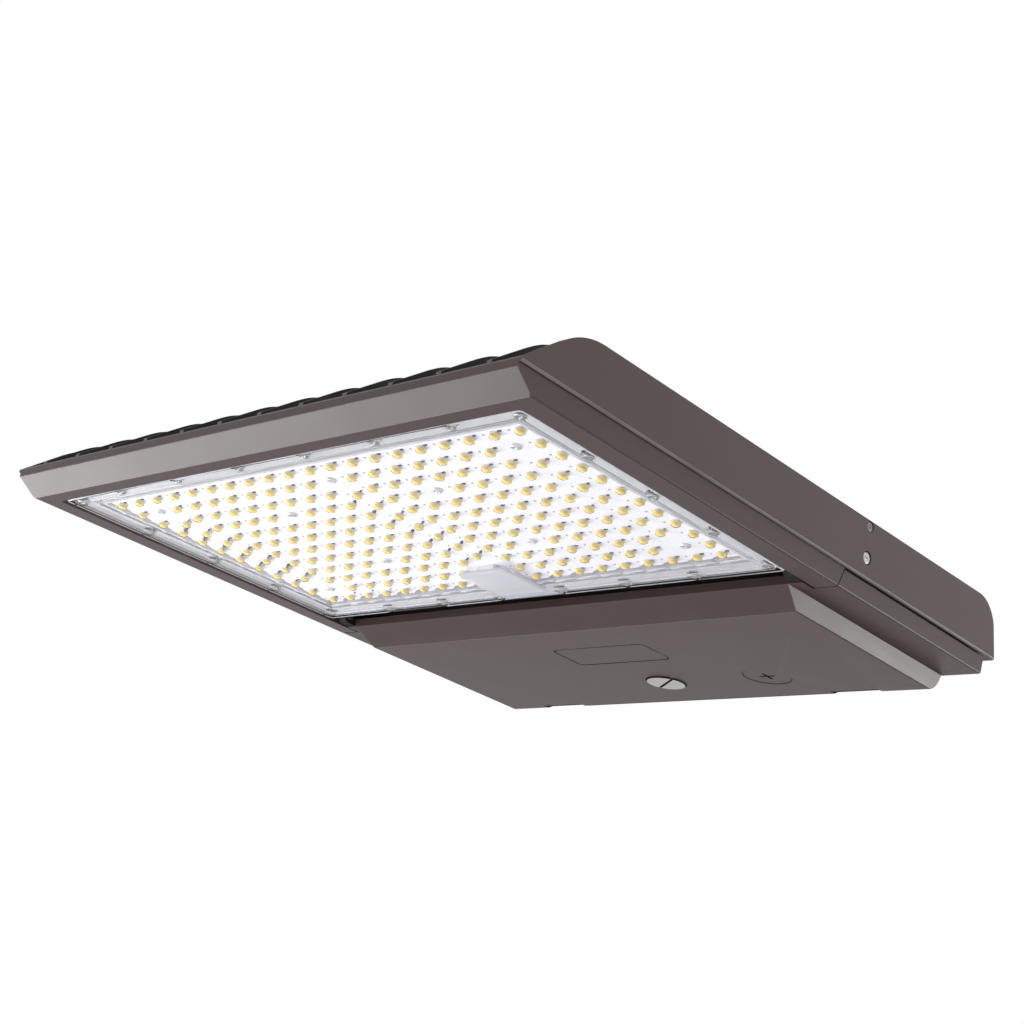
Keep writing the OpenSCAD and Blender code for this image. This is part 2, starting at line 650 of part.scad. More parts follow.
module surge_protector() color("#2f3237") seat() difference() {
    union() {
        plate(surge_x - surge_l / 2, surge_x + surge_l / 2, bay_y - surge_w / 2,
              bay_y + surge_w / 2, tray_z - surge_h, tray_z, 3);
        plate(surge_x - surge_l / 2 - surge_ear, surge_x + surge_l / 2 + surge_ear, bay_y - 7, bay_y + 7,
              tray_z - 3, tray_z, 3);
    }
    for (p = surge_holes) rod(p[0], p[1], tray_z - 4, tray_z + cut, foot_hole_r);
    for (k = [-1 : 1]) rod_x(surge_x - surge_l / 2 - cut, surge_x - surge_l / 2 + 5,
                             bay_y + 6 * k, surge_lead_z, wire_hole_r);
}

module surge_screws() color("#b9b6b3") seat() for (p = surge_holes) tray_screw(p, tray_z - 3);

module terminal_block() color("#e6e3d8") seat() difference() {
    block(block_x - block_l / 2, block_x + block_l / 2, bay_y - block_w / 2, bay_y + block_w / 2,
          tray_z - block_h, tray_z);
    for (p = block_holes) {
        rod(p[0], p[1], tray_z - block_h - cut, tray_z + cut, foot_hole_r);
        rod(p[0], p[1], tray_z - block_h - cut, tray_z - 4, 3.2);
    }
    for (k = [-1 : 1]) {
        for (t = [-1, 1]) rod(block_x + k * pole_pitch, bay_y + t * pole_y,
                              tray_z - block_h - cut, tray_z - block_h + 5, 2.6);
        rod_y(block_x + k * pole_pitch, bay_y - block_w / 2 - cut, bay_y - block_w / 2 + 4,
              pole_z, wire_hole_r);
        rod_y(block_x + k * pole_pitch, bay_y + block_w / 2 - 4, bay_y + block_w / 2 + cut,
              pole_z, wire_hole_r);
    }
}

module terminal_screws() color("#c8b26a") seat() for (k = [-1 : 1], t = [-1, 1])
    translate([block_x + k * pole_pitch, bay_y + t * pole_y, tray_z - block_h + 3])
        screw(2.4, 2, 2.4, 2);

module block_screws() color("#b9b6b3") seat() for (p = block_holes) tray_screw(p, tray_z - 4);

module ground_screw() color("#3f8f55") seat() difference() {
    union() {
        rod(ground_x, bay_y, tray_z - 4, tray_z + tray_t, ground_d / 2);
        translate([ground_x, bay_y, tray_z - 4]) cylinder(h = ground_head_h, r = ground_head_r, $fn = 6);
    }
    block(ground_x - 3, ground_x + 3, bay_y - 0.5, bay_y + 0.5, tray_z - 4 - cut, tray_z - 3);
}

// ---- wires: a tube swept along points chosen by hand, with square-cut ends ----

// each inner corner is replaced by a short curve between the middles of its two legs
function smooth(p, n = 4) = [for (i = [0 : len(p) - 1]) each
    (i == 0 || i == len(p) - 1 ? [p[i]] :
     [for (k = [0 : n]) let (t = k / n)
        (1 - t) * (1 - t) * (p[i] * 0.55 + p[i - 1] * 0.45) + 2 * t * (1 - t) * p[i]
        + t * t * (p[i] * 0.55 + p[i + 1] * 0.45)])];
function heading(p, i) = unit(i == 0 ? p[1] - p[0]
    : (i == len(p) - 1 ? p[i] - p[i - 1] : p[i + 1] - p[i - 1]));
module tube(route, r) {
    p = smooth(route);
    sides = 8;
    up = [1, -1, 1];
    points = [for (i = [0 : len(p) - 1]) let (h = heading(p, i), u = unit(cross(h, up)), v = cross(h, u))
        for (k = [0 : sides - 1]) p[i] + r * (cos(360 * k / sides) * u + sin(360 * k / sides) * v)];
    last = (len(p) - 1) * sides;
    polyhedron(points, concat(
        [[for (k = [0 : sides - 1]) k]],
        [for (i = [0 : len(p) - 2], k = [0 : sides - 1], half = [0, 1])
            let (a = i * sides + k, b = i * sides + (k + 1) % sides)
            (half == 0 ? [b + sides, b, a] : [a + sides, b + sides, a])],
        [[for (k = [0 : sides - 1]) last + sides - 1 - k]]));
}

lead_pitch = wire_d + 1.2;
module led_leads() for (s = [-1, 1]) color(s < 0 ? "#b03030" : "#2f4f9f") seat() tube([
    [driver_l / 2 - 4, driver_y + 4 * s, lead_z],
    [driver_l / 2 + 8 + 2 * s, driver_y + 4 * s, lead_z],
    [driver_l / 2 + 10 + 2 * s, driver_y - driver_w / 2 - 6 - 4 * s, lead_z + 6],
    [80, rim_front - 12 - 2 * s, swing_z + inner_wall + 4],
    [20, rim_front - 20 - 2 * s, swing_z + inner_wall + 4],
    [2 * s, wire_y + 4, plate_top + 14],
    [2 * s, wire_y, plate_top + 6],
    [2 * s, wire_y, recess_h],
    [2 * s, wire_y, lens_z + 1.3],
    [2 * s, wire_y - 4, lens_z + 1.3],
    [2 * s, wire_y - board_notch + 1, board_z - 1.8],
    [2 * s, wire_y - board_notch - 4.5, board_z - 1.8]], wire_d / 2);

supply_colours = ["#222222", "#e8e8e8", "#3f8f55"];
module supply_leads() for (k = [-1 : 1]) color(supply_colours[k + 1]) seat() tube([
    [-driver_l / 2 + 4, driver_y + 6 * k, lead_z],
    [-driver_l / 2 - 11 + 3 * k, driver_y + 6 * k, lead_z],
    [-driver_l / 2 - 15 + 3 * k, driver_y + driver_w / 2, lead_z - 2],
    [block_x + k * pole_pitch, bay_y - block_w / 2 - 9 - 3 * k, tray_z - block_h + 6.5],
    [block_x + k * pole_pitch, bay_y - block_w / 2 - 4, pole_z],
    [block_x + k * pole_pitch, bay_y - block_w / 2 + 3, pole_z]], wire_d / 2);

module surge_leads() for (k = [-1 : 1]) color(supply_colours[1 - k]) seat() tube([
    [surge_x - surge_l / 2 + 4, bay_y + 6 * k, surge_lead_z],
    [surge_x - surge_l / 2 - 8, bay_y + 6 * k, surge_lead_z],
    [surge_x - surge_l, bay_y + 13 + lead_pitch * k, surge_lead_z + 2],
    [block_x + block_l + 13, bay_y + 14 + lead_pitch * k, surge_lead_z + 2],
    [block_x - k * pole_pitch + 3, bay_y + block_w / 2 + 9.5 + lead_pitch * k,
     pole_z],
    [block_x - k * pole_pitch, bay_y + block_w / 2 + 3, pole_z],
    [block_x - k * pole_pitch, bay_y + block_w / 2 - 3, pole_z]], wire_d / 2);

// ---- catch for the turn fastener ----

module catch_bracket() color("#b9bcbe") seat() difference() {
    union() {
        both_sides() {
            block(catch_x - catch_t, catch_x + 10, stud_y - catch_w / 2, stud_y + catch_w / 2,
                  tray_z - catch_t, tray_z);
            block(catch_x - catch_t, catch_x, stud_y - catch_w / 2, stud_y + catch_w / 2,
                  catch_z, tray_z);
        }
        block(-catch_x, catch_x, stud_y - catch_w / 2, stud_y + catch_w / 2,
              catch_z, catch_z + catch_t);
    }
    rod(0, stud_y, catch_z - cut, catch_z + catch_t + cut, stud_d / 2 + catch_gap);
    both_sides() rod_x(catch_x - catch_t - cut, catch_x + cut, stud_y,
                       stud_top + slip + spring_d / 2, spring_d / 2 + 0.05);
    for (p = catch_holes) rod(p[0], p[1], tray_z - catch_t - cut, tray_z + cut, foot_hole_r);
}

module catch_spring() color("#8f9294") seat()
    rod_x(-catch_x - 1.5, catch_x + 1.5, stud_y, stud_top + slip + spring_d / 2, spring_d / 2);

module catch_screws() color("#b9b6b3") seat() for (p = catch_holes) tray_screw(p, tray_z - catch_t);

// ---- hinge ----

module hinge_pins() color("#8f9294") seat() both_sides()
    rod_x(pin_x1 - pin_l, pin_x1, hinge_y, hinge_z, pin_d / 2);

// ---- door ----

module door_tub_outline() polygon(rounded([
    [seam_y + seam, 0, 0], [door_end, 0, band_r], [door_end, door_top, 0.6],
    [seam_y + seam + seam_lean * door_top / ledge_z, door_top, 0]]));
module belly_outline() polygon(rounded([
    [lip_y, 0.01, 0], [lip_y + belly_slope, -belly_h, 0], [door_end - 1.5, -belly_h, belly_r],
    [door_end - 1.5, 0.01, 0]]));
module belly_section() polygon(rounded([
    [-belly_x, 0.01, 0], [-belly_x + belly_draft, -belly_h, 0.8],
    [belly_x - belly_draft, -belly_h, 0.8], [belly_x, 0.01, 0]]));

module door_ear() difference() {
    union() {
        rod_x(ear_x0, ear_x1, hinge_y, hinge_z, ear_r);
        block(ear_x0, ear_x1, hinge_y, seam_y, hinge_z - ear_r, hinge_z + ear_r);
    }
    rod_x(ear_x0 - cut, ear_x1 + cut, hinge_y, hinge_z, pin_d / 2 + run_fit);
}

module door() color("#6a605f") seat() difference() {
    union() {
        difference() {
            // tray of the door: flange with an upturned edge on three sides
            intersection() {
                along_x(-half_w, half_w) door_tub_outline();
                along_y(lip_y, body_l) body_section();
            }
            plate(-ring_x - 2, ring_x + 2, lip_y - cut, door_end - door_t, door_t, ledge_z + cut, 2);
        }
        // apron ahead of the seam, with its lip
        block(-ear_x1, ear_x1, lip_y, seam_y + door_t, 0, door_t);
        block(-ear_x1, ear_x1, lip_y, lip_y + door_t, 0, lip_h);
        intersection() {
            along_x(-half_w, half_w) belly_outline();
            along_y(lip_y, body_l) belly_section();
        }
        both_sides() door_ear();
    }
    // hollow of the belly, between the seats of the gasket
    difference() {
        intersection() {
            along_x(-half_w, half_w) polygon(rounded([
                [rim_front + door_seal_w + 1, door_t + cut, 0],
                [rim_front + door_seal_w + 1, belly_floor, 2],
                [ring_y1 - door_seal_w - 1, belly_floor, 2],
                [ring_y1 - door_seal_w - 1, door_t + cut, 0]]));
            along_y(lip_y, body_l) polygon([
                [-belly_x + door_t, door_t + cut], [-belly_x + belly_draft + door_t, belly_floor],
                [belly_x - belly_draft - door_t, belly_floor], [belly_x - door_t, door_t + cut]]);
        }
        rod(0, stud_y, -belly_h, boss_top, head_d / 2 + 3);
        rod(plug_x, plug_y, -belly_h, belly_floor + 2, plug_d / 2 + 3);
    }
    // the turn fastener's seat and bore
    rod(0, stud_y, -belly_h - cut, head_z + head_t + 0.1, head_d / 2 + head_gap);
    rod(0, stud_y, -belly_h - cut, boss_top + cut, stud_d / 2 + run_fit + 0.05);
    // the closing plug's seat and hole
    rod(plug_x, plug_y, -belly_h - cut, -belly_h + 1.8, plug_d / 2 + 0.4);
    rod(plug_x, plug_y, -belly_h - cut, belly_floor + 2 + cut, plug_d / 2 - 2.5);
    // outline of the plain field, and the finger notches
    translate([0, 0, -belly_h - cut]) linear_extrude(cut + 0.5) difference() {
        polygon(field_points(0));
        polygon(field_points(1));
    }
    both_sides() block(notch_x - notch_l / 2, notch_x + notch_l / 2, door_end - 1.5 - 10,
                       door_end, -belly_h - cut, -belly_h + notch_h);
}
field_y = stud_y - field_lead;
field_r = 4;
// outline of the plain field, drawn in by d all round
function field_points(d) = rounded([for (c = [[-1, -1], [1, -1], [1, 1], [-1, 1]])
    [c[0] * (field_l / 2 - d), field_y + c[1] * (field_w / 2 - d), field_r - d]]);

module door_gasket() color("#2a2a2a") seat()
    frame(ring_x, rim_front, ring_y1, door_t, door_t + door_seal_t, door_seal_w, 4);

module closing_plug() color("#6a605f") seat() difference() {
    union() {
        rod(plug_x, plug_y, -belly_h + 0.2, -belly_h + 1.7, plug_d / 2);
        rod(plug_x, plug_y, -belly_h + 0.2, belly_floor + 5, plug_d / 2 - 3);
    }
    rod(plug_x, plug_y, belly_floor, belly_floor + 5 + cut, plug_d / 2 - 5);
    for (a = [0, 90]) translate([plug_x, plug_y, -belly_h - cut]) rotate(a)
        translate([-cross_l / 2, -cross_w / 2, 0]) cube([cross_l, cross_w, cut + 1.4]);
    // groove that holds the clip
    difference() {
        rod(plug_x, plug_y, belly_floor + 2.2, belly_floor + 3.6, plug_d / 2);
        rod(plug_x, plug_y, belly_floor + 2, belly_floor + 4, plug_d / 2 - 4);
    }
}

module plug_clip() color("#8f9294") seat() difference() {
    rod(plug_x, plug_y, belly_floor + 2.3, belly_floor + 3.5, plug_d / 2 + 0.5);
    rod(plug_x, plug_y, belly_floor + 2, belly_floor + 4, plug_d / 2 - 3.8);
    block(plug_x - 2, plug_x + 2, plug_y, plug_y + plug_d, belly_floor + 2, belly_floor + 4);
}

// ---- turn fastener ----

module turn_stud() color("#c9c4bf") seat() translate([0, stud_y, 0]) difference() {
    union() {
        rod(0, 0, head_z, head_z + head_t, head_d / 2, 48);
        rod(0, 0, head_z, stud_top - 1, stud_d / 2);
        translate([0, 0, stud_top - 1]) cylinder(h = 1, r1 = stud_d / 2, r2 = stud_d / 2 - 1);
    }
    rotate(slot_angle) block(-head_d, head_d, -slot_w / 2, slot_w / 2, head_z - cut, head_z + slot_h);
    // groove for the clip
    difference() {
        rod(0, 0, boss_top + 0.2, boss_top + 1.6, stud_d);
        rod(0, 0, boss_top, boss_top + 2, stud_d / 2 - 0.9);
    }
}

module stud_clip() color("#8f9294") seat() translate([0, stud_y, 0]) difference() {
    rod(0, 0, boss_top + 0.3, boss_top + 1.5, stud_d / 2 + 3);
    rod(0, 0, boss_top, boss_top + 2, stud_d / 2 - 0.8);
    block(-1.5, 1.5, 0, stud_d + 3, boss_top, boss_top + 2);
}

housing();
gear_tray();
side_screws();
upper_screws();
thermal_pad();
led_board();
leds();
board_screws();
led_connector();
optic_panel();
optic_gasket();
optic_screws();
wire_grommet();
driver_case();
driver_screws();
driver_label_plate();
surge_protector();
surge_screws();
terminal_block();
terminal_screws();
block_screws();
ground_screw();
led_leads();
supply_leads();
surge_leads();
catch_bracket();
catch_spring();
catch_screws();
hinge_pins();
door();
door_gasket();
closing_plug();
plug_clip();
turn_stud();
stud_clip();
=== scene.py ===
import json
import math

import bmesh
import bpy
from mathutils import Matrix, Vector

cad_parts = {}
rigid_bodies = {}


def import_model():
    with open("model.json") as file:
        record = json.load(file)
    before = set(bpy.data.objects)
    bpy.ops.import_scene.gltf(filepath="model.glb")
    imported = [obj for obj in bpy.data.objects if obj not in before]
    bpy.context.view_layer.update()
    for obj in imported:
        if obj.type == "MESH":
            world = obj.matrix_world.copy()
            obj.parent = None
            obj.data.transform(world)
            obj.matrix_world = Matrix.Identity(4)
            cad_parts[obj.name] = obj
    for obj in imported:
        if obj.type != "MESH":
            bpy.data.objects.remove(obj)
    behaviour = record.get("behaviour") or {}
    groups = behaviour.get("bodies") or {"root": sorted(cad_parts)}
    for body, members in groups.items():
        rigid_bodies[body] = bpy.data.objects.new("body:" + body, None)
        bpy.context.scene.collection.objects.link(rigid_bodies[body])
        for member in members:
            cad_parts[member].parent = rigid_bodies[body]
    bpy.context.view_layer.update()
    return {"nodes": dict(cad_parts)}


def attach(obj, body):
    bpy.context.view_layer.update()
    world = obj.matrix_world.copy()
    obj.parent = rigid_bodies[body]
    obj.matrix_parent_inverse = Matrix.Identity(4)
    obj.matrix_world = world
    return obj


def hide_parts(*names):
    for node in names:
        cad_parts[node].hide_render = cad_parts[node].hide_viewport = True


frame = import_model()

nodes = frame["nodes"]
things = bpy.context.scene.collection.objects

# ---- Studio ----
# The light hangs as it does on its pole, and is looked at from below and ahead of its right side.
# It stands free in a white room with a pale floor. Soft lamps stand below its nose, behind it on
# the right, beside its right side, straight below it and above it.
BODY_LENGTH = 388.5
MOUNT_HEIGHT = 24.0


def bench(x, y, z):
    """Millimetres from the middle, the nose and the bezel plane, as a place in the frame."""
    return Vector((x, y - BODY_LENGTH, z - MOUNT_HEIGHT)) / 1000


CAMERA_AT = Vector((0.64517, -0.83907, -0.30774))
CAMERA_RIGHT = Vector((0.734587, 0.657296, 0.168357))
CAMERA_UP = Vector((0.109217, -0.359436, 0.926757))
camera = bpy.data.objects.new("camera", bpy.data.cameras.new("camera"))
camera.data.sensor_width = 36
camera.data.lens = 63.23
camera.data.clip_start = 0.01
turn = Matrix((CAMERA_RIGHT, CAMERA_UP, CAMERA_RIGHT.cross(CAMERA_UP))).transposed()
camera.matrix_world = Matrix.Translation(CAMERA_AT) @ turn.to_4x4()
things.link(camera)
bpy.context.scene.camera = camera
bpy.context.scene.view_settings.view_transform = "Standard"


def soft_lamp(name, at, towards, along, size, glow):
    """A flat softbox with its middle at a point, turned to another, and its long side set."""
    lamp = bpy.data.objects.new(name, bpy.data.lights.new(name, "AREA"))
    lamp.data.shape = "RECTANGLE"
    lamp.data.size, lamp.data.size_y = size
    lamp.data.energy = glow * 4 * size[0] * size[1]
    back = (Vector(at) - Vector(towards)).normalized()
    side = (Vector(along) - back * back.dot(Vector(along))).normalized()
    axes = Matrix((side, back.cross(side), back)).transposed()
    lamp.matrix_world = Matrix.Translation(Vector(at)) @ axes.to_4x4()
    lamp.visible_camera = False
    things.link(lamp)


soft_lamp("nose_lamp", (-0.75, -0.56, -0.65), (0, -0.385, -0.02), (0.93, -0.09, -0.36),
          (0.95, 0.32), 5.6)
soft_lamp("rear_lamp", (0.72, 0.69, -0.16), (0.166, -0.08, -0.03), (0.81, -0.58, 0.0),
          (0.46, 0.2), 7.0)
soft_lamp("side_lamp", (0.80, -0.60, 0.10), (0.18, -0.35, 0.0), (0, 1, 0), (0.3, 0.3), 1.6)
soft_lamp("floor_lamp", (0.0, -0.20, -1.10), (0, -0.2, 0), (1, 0, 0), (0.8, 0.8), 0.55)
soft_lamp("top_lamp", (0.3, -0.5, 1.2), (0, -0.2, 0), (1, 0, 0), (1.0, 1.0), 2.4)


def put(tree, kind, values=None, **settings):
    """Adds a node, sets it up, and fills its sockets with numbers or links."""
    made = tree.nodes.new(kind)
    for key, value in settings.items():
        setattr(made, key, value)
    for key, value in (values or {}).items():
        if isinstance(value, bpy.types.NodeSocket):
            tree.links.new(value, made.inputs[key])
        else:
            made.inputs[key].default_value = value
    return made


WHITE = (1, 1, 1, 1)
WALL_LIGHT = (0.40, 0.41, 0.43, 1)
room = bpy.data.worlds.new("white_room")
room.use_nodes = True
tree = room.node_tree
tree.nodes.clear()
ray = put(tree, "ShaderNodeLightPath")
seen = put(tree, "ShaderNodeMath", {0: ray.outputs["Is Camera Ray"],
                                    1: ray.outputs["Is Glossy Ray"]}, operation="MAXIMUM")
seen = put(tree, "ShaderNodeMath", {0: seen.outputs[0],
                                    1: ray.outputs["Is Transmission Ray"]}, operation="MAXIMUM")
lit = put(tree, "ShaderNodeBackground", {"Color": WALL_LIGHT, "Strength": 1.0})
paper = put(tree, "ShaderNodeBackground", {"Color": WHITE, "Strength": 1.0})
either = put(tree, "ShaderNodeMixShader", {0: seen.outputs[0], 1: lit.outputs[0],
                                           2: paper.outputs[0]})
put(tree, "ShaderNodeOutputWorld", {"Surface": either.outputs[0]})
bpy.context.scene.world = room

FLOOR_Z, FLOOR_HALF = -1.2, 6
floor_mesh = bpy.data.meshes.new("floor")
floor_mesh.from_pydata([(x * FLOOR_HALF, y * FLOOR_HALF, FLOOR_Z)
                        for x, y in ((-1, -1), (1, -1), (1, 1), (-1, 1))], [], [(0, 1, 2, 3)])
floor = bpy.data.objects.new("floor", floor_mesh)
things.link(floor)
floor_paint = bpy.data.materials.new("floor_paper")
floor_paint.use_nodes = True
tree = floor_paint.node_tree
matt = tree.nodes["Principled BSDF"]
matt.inputs["Base Color"].default_value = (0.86, 0.86, 0.86, 1)
matt.inputs["Roughness"].default_value = 0.9
# The camera sees the floor as even pale paper, whatever shade falls on it.
ray = put(tree, "ShaderNodeLightPath")
pale = put(tree, "ShaderNodeEmission", {"Color": (0.88, 0.88, 0.89, 1), "Strength": 1.0})
either = put(tree, "ShaderNodeMixShader", {0: ray.outputs["Is Camera Ray"], 1: matt.outputs[0],
                                           2: pale.outputs[0]})
tree.links.new(either.outputs[0], tree.nodes["Material Output"].inputs["Surface"])
floor_mesh.materials.append(floor_paint)

# ---- Housing ----
# One aluminium die casting carries everything else: side walls, nose, roof and cooling fins.
# It is coated all over with a dark bronze powder paint, which has a fine orange-peel surface and
# is thinner and a little lighter along the edges, partly by wear and partly as painted highlight.
def surface_group(name, sockets_in):
    """An empty shader group for a finish, with Colour, Roughness and Height as its results."""
    group = bpy.data.node_groups.new(name, "ShaderNodeTree")
    for label, kind, value in sockets_in:
        socket = group.interface.new_socket(label, in_out="INPUT", socket_type="NodeSocket" + kind)
        socket.default_value = value
    for label, kind in (("Colour", "Color"), ("Roughness", "Float"), ("Height", "Float")):
        group.interface.new_socket(label, in_out="OUTPUT", socket_type="NodeSocket" + kind)
    return group, group.nodes.new("NodeGroupInput").outputs, group.nodes.new("NodeGroupOutput")


def maths(tree, operation, a, b, clamp=False):
    return put(tree, "ShaderNodeMath", {0: a, 1: b},
               operation=operation, use_clamp=clamp).outputs[0]


def blend_colour(tree, amount, a, b, kind="MIX"):
    return put(tree, "ShaderNodeMix", {"Factor": amount, 6: a, 7: b},
               data_type="RGBA", blend_type=kind).outputs[2]


def noise(tree, where, scale, detail=2.0, spread=0.5):
    return put(tree, "ShaderNodeTexNoise", {"Vector": where, "Scale": scale, "Detail": detail,
                                            "Roughness": spread}).outputs["Fac"]


DARKER, LIGHTER = (0.62, 0.62, 0.62, 1), (1.38, 1.38, 1.38, 1)
DUST_COLOUR, PAINTED_SHADE_COLOUR = (0.42, 0.40, 0.37, 1), (0.008, 0.007, 0.007, 1)
coat, given, result = surface_group("coated_surface", [
    ("Colour", "Color", (0.05, 0.04, 0.04, 1)), ("Rubbed Colour", "Color", (0.2, 0.18, 0.17, 1)),
    ("Grain Size", "Float", 1.0), ("Grain Depth", "Float", 0.01), ("Mottle", "Float", 0.15),
    ("Dust", "Float", 0.1), ("Roughness", "Float", 0.4)])
spot = put(coat, "ShaderNodeTexCoord")
per_metre = maths(coat, "DIVIDE", 1000.0, given["Grain Size"])
grain = noise(coat, spot.outputs["Object"], per_metre, 2.0)
fine = noise(coat, spot.outputs["Object"], maths(coat, "MULTIPLY", per_metre, 2.9), 1.0)
cloud = noise(coat, spot.outputs["Object"], 22.0, 4.0, 0.6)
mottle = maths(coat, "MULTIPLY", maths(coat, "SUBTRACT", cloud, 0.5), given["Mottle"])
shade = blend_colour(coat, maths(coat, "ADD", mottle, 0.5, True),
                     blend_colour(coat, 1.0, given["Colour"], DARKER, "MULTIPLY"),
                     blend_colour(coat, 1.0, given["Colour"], LIGHTER, "MULTIPLY"))
# Eased and marked faces turn lighter in patches: partly edge wear, partly painted highlight.
rub = put(coat, "ShaderNodeAttribute", attribute_name="rub").outputs["Fac"]
patchy_wear_and_highlight = maths(coat, "MULTIPLY", rub, maths(coat, "ADD", cloud, 0.1))
shade = blend_colour(coat, patchy_wear_and_highlight, shade, given["Rubbed Colour"])
upward = put(coat, "ShaderNodeSeparateXYZ", {"Vector": spot.outputs["Normal"]}).outputs["Z"]
settled = put(coat, "ShaderNodeMapRange", {"Value": upward, "From Min": 0.35, "From Max": 1.0})
film = maths(coat, "ADD", maths(coat, "MULTIPLY", cloud, 0.6), 0.2)
dusty = maths(coat, "MULTIPLY", maths(coat, "MULTIPLY", settled.outputs[0], film), given["Dust"])
shade = blend_colour(coat, dusty, shade, DUST_COLOUR)
# Marked faces go near black: painted shade for deep gaps and recesses.
grime = put(coat, "ShaderNodeAttribute", attribute_name="grime").outputs["Fac"]
painted_shade_amount = maths(coat, "MULTIPLY", grime, maths(coat, "ADD", cloud, 0.45), True)
shade = blend_colour(coat, painted_shade_amount, shade, PAINTED_SHADE_COLOUR)
coat.links.new(shade, result.inputs["Colour"])
rough = maths(coat, "ADD", given["Roughness"], maths(coat, "MULTIPLY", mottle, 0.5))
rough = maths(coat, "ADD", rough, maths(coat, "MULTIPLY", dusty, 0.6))
rough = maths(coat, "ADD", rough, maths(coat, "MULTIPLY", painted_shade_amount, 0.4), True)
coat.links.new(rough, result.inputs["Roughness"])
depth = maths(coat, "MULTIPLY", given["Grain Depth"], 0.001)
relief = maths(coat, "ADD", grain, maths(coat, "MULTIPLY", fine, 0.35))
coat.links.new(maths(coat, "MULTIPLY", relief, depth), result.inputs["Height"])


def finished(name, group, values, fixed=None):
    """A material whose colour, roughness and relief come from a surface group."""
    material = bpy.data.materials.new(name)
    material.use_nodes = True
    tree = material.node_tree
    shader = tree.nodes["Principled BSDF"]
    skin = put(tree, "ShaderNodeGroup", values, node_tree=group)
    bump = put(tree, "ShaderNodeBump", {"Height": skin.outputs["Height"], "Distance": 1.0})
    tree.links.new(skin.outputs["Colour"], shader.inputs["Base Color"])
    tree.links.new(skin.outputs["Roughness"], shader.inputs["Roughness"])
    tree.links.new(bump.outputs["Normal"], shader.inputs["Normal"])
    for key, value in (fixed or {}).items():
        shader.inputs[key].default_value = value
    return material


def baked(piece):
    """Replaces a piece's mesh by what its modifiers make of it."""
    bpy.context.view_layer.update()
    ready = piece.evaluated_get(bpy.context.evaluated_depsgraph_get())
    mesh = bpy.data.meshes.new_from_object(ready)
    piece.modifiers.clear()
    old, piece.data = piece.data, mesh
    name = old.name
    bpy.data.meshes.remove(old)
    mesh.name = name


# Corners closer than WELD are one, and a face's triangles may cover OVERLAP more than the face.
WELD, OVERLAP = 2e-6, 5e-7
# In degrees, edges flatter than FLAT are dissolved and edges steeper than CREASE are shaded crisp.
FLAT, CREASE = 0.5, 31
# How near a fold an edge has to be to stay sharp, in metres for each millimetre of easing.
FOLD_REACH = 0.0027


def folded(mesh):
    """Corners of the faces whose outline runs over itself, so that their triangles overlap."""
    mesh.calc_loop_triangles()
    covered = [0.0] * len(mesh.polygons)
    for part in mesh.loop_triangles:
        covered[part.polygon_index] += part.area
    return [mesh.vertices[i].co.copy() for face in mesh.polygons
            if covered[face.index] - face.area > OVERLAP for i in face.vertices]


def eased(node, name, material, width=0.3, shortest=1.2, angle=28, cut_y=None):
    """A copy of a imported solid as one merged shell, with its long sharp edges eased.

    An edge stays sharp where easing it would fold the faces beside it. A cut across at cut_y
    parts the faces that look up, where a comb of fins would otherwise be one face with its roof."""
    mesh = nodes[node].data.copy()
    mesh.name = name
    whole = bmesh.new()
    whole.from_mesh(mesh)
    bmesh.ops.remove_doubles(whole, verts=whole.verts, dist=WELD)
    bmesh.ops.dissolve_limit(whole, angle_limit=math.radians(FLAT), verts=whole.verts,
                             edges=whole.edges)
    if cut_y is not None:
        upper = [f for f in whole.faces if f.normal.z > 0.99 and f.calc_center_median().z > 0]
        parts = dict.fromkeys(part for f in upper for part in (*f.verts, *f.edges))
        bmesh.ops.bisect_plane(whole, geom=upper + list(parts), dist=1e-7,
                               plane_co=bench(0, cut_y, 0), plane_no=(0, 1, 0))
    whole.faces.layers.float.new("rub")
    whole.edges.ensure_lookup_table()
    sharp = {e.index for e in whole.edges if e.is_manifold
             and e.calc_length() > shortest / 1000 and e.calc_face_angle() > math.radians(angle)}
    while True:
        shell = whole.copy()
        shell.edges.ensure_lookup_table()
        wear_and_highlight_layer = shell.faces.layers.float["rub"]
        made = bmesh.ops.bevel(shell, geom=[shell.edges[i] for i in sharp], segments=2,
                               offset=width / 1000, profile=0.5, affect="EDGES",
                               clamp_overlap=False)
        # Every eased face turns lighter: partly edge wear, partly painted highlight.
        for face in made["faces"]:
            face[wear_and_highlight_layer] = 1.0
        shell.to_mesh(mesh)
        shell.free()
        spots = folded(mesh)
        near = {i for i in sharp for end in whole.edges[i].verts
                if any((end.co - spot).length < FOLD_REACH * width for spot in spots)}
        if not near:
            break
        sharp -= near
    whole.free()
    mesh.shade_smooth()
    mesh.set_sharp_from_angle(angle=math.radians(CREASE))
    mesh.materials.clear()
    mesh.materials.append(material)
    piece = bpy.data.objects.new(name, mesh)
    things.link(piece)
    piece.modifiers.new("level", "WEIGHTED_NORMAL").keep_sharp = True
    baked(piece)
    return piece


def mark(piece, layer_name, where):
    """Marks faces on a face layer by their middle, in bench millimetres: painted shade, or edge
    wear and painted highlight.
    """
    layer = piece.data.attributes.get(layer_name) or piece.data.attributes.new(layer_name, "FLOAT", "FACE")
    for face, value in zip(piece.data.polygons, layer.data):
        at = face.center * 1000
        if where(at.x, at.y + BODY_LENGTH, at.z + MOUNT_HEIGHT, face.normal):
            value.value = 1.0


def stands_for(piece, body, slot, *replaced):
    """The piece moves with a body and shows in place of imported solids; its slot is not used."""
    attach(piece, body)
    if replaced:
        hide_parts(*replaced)


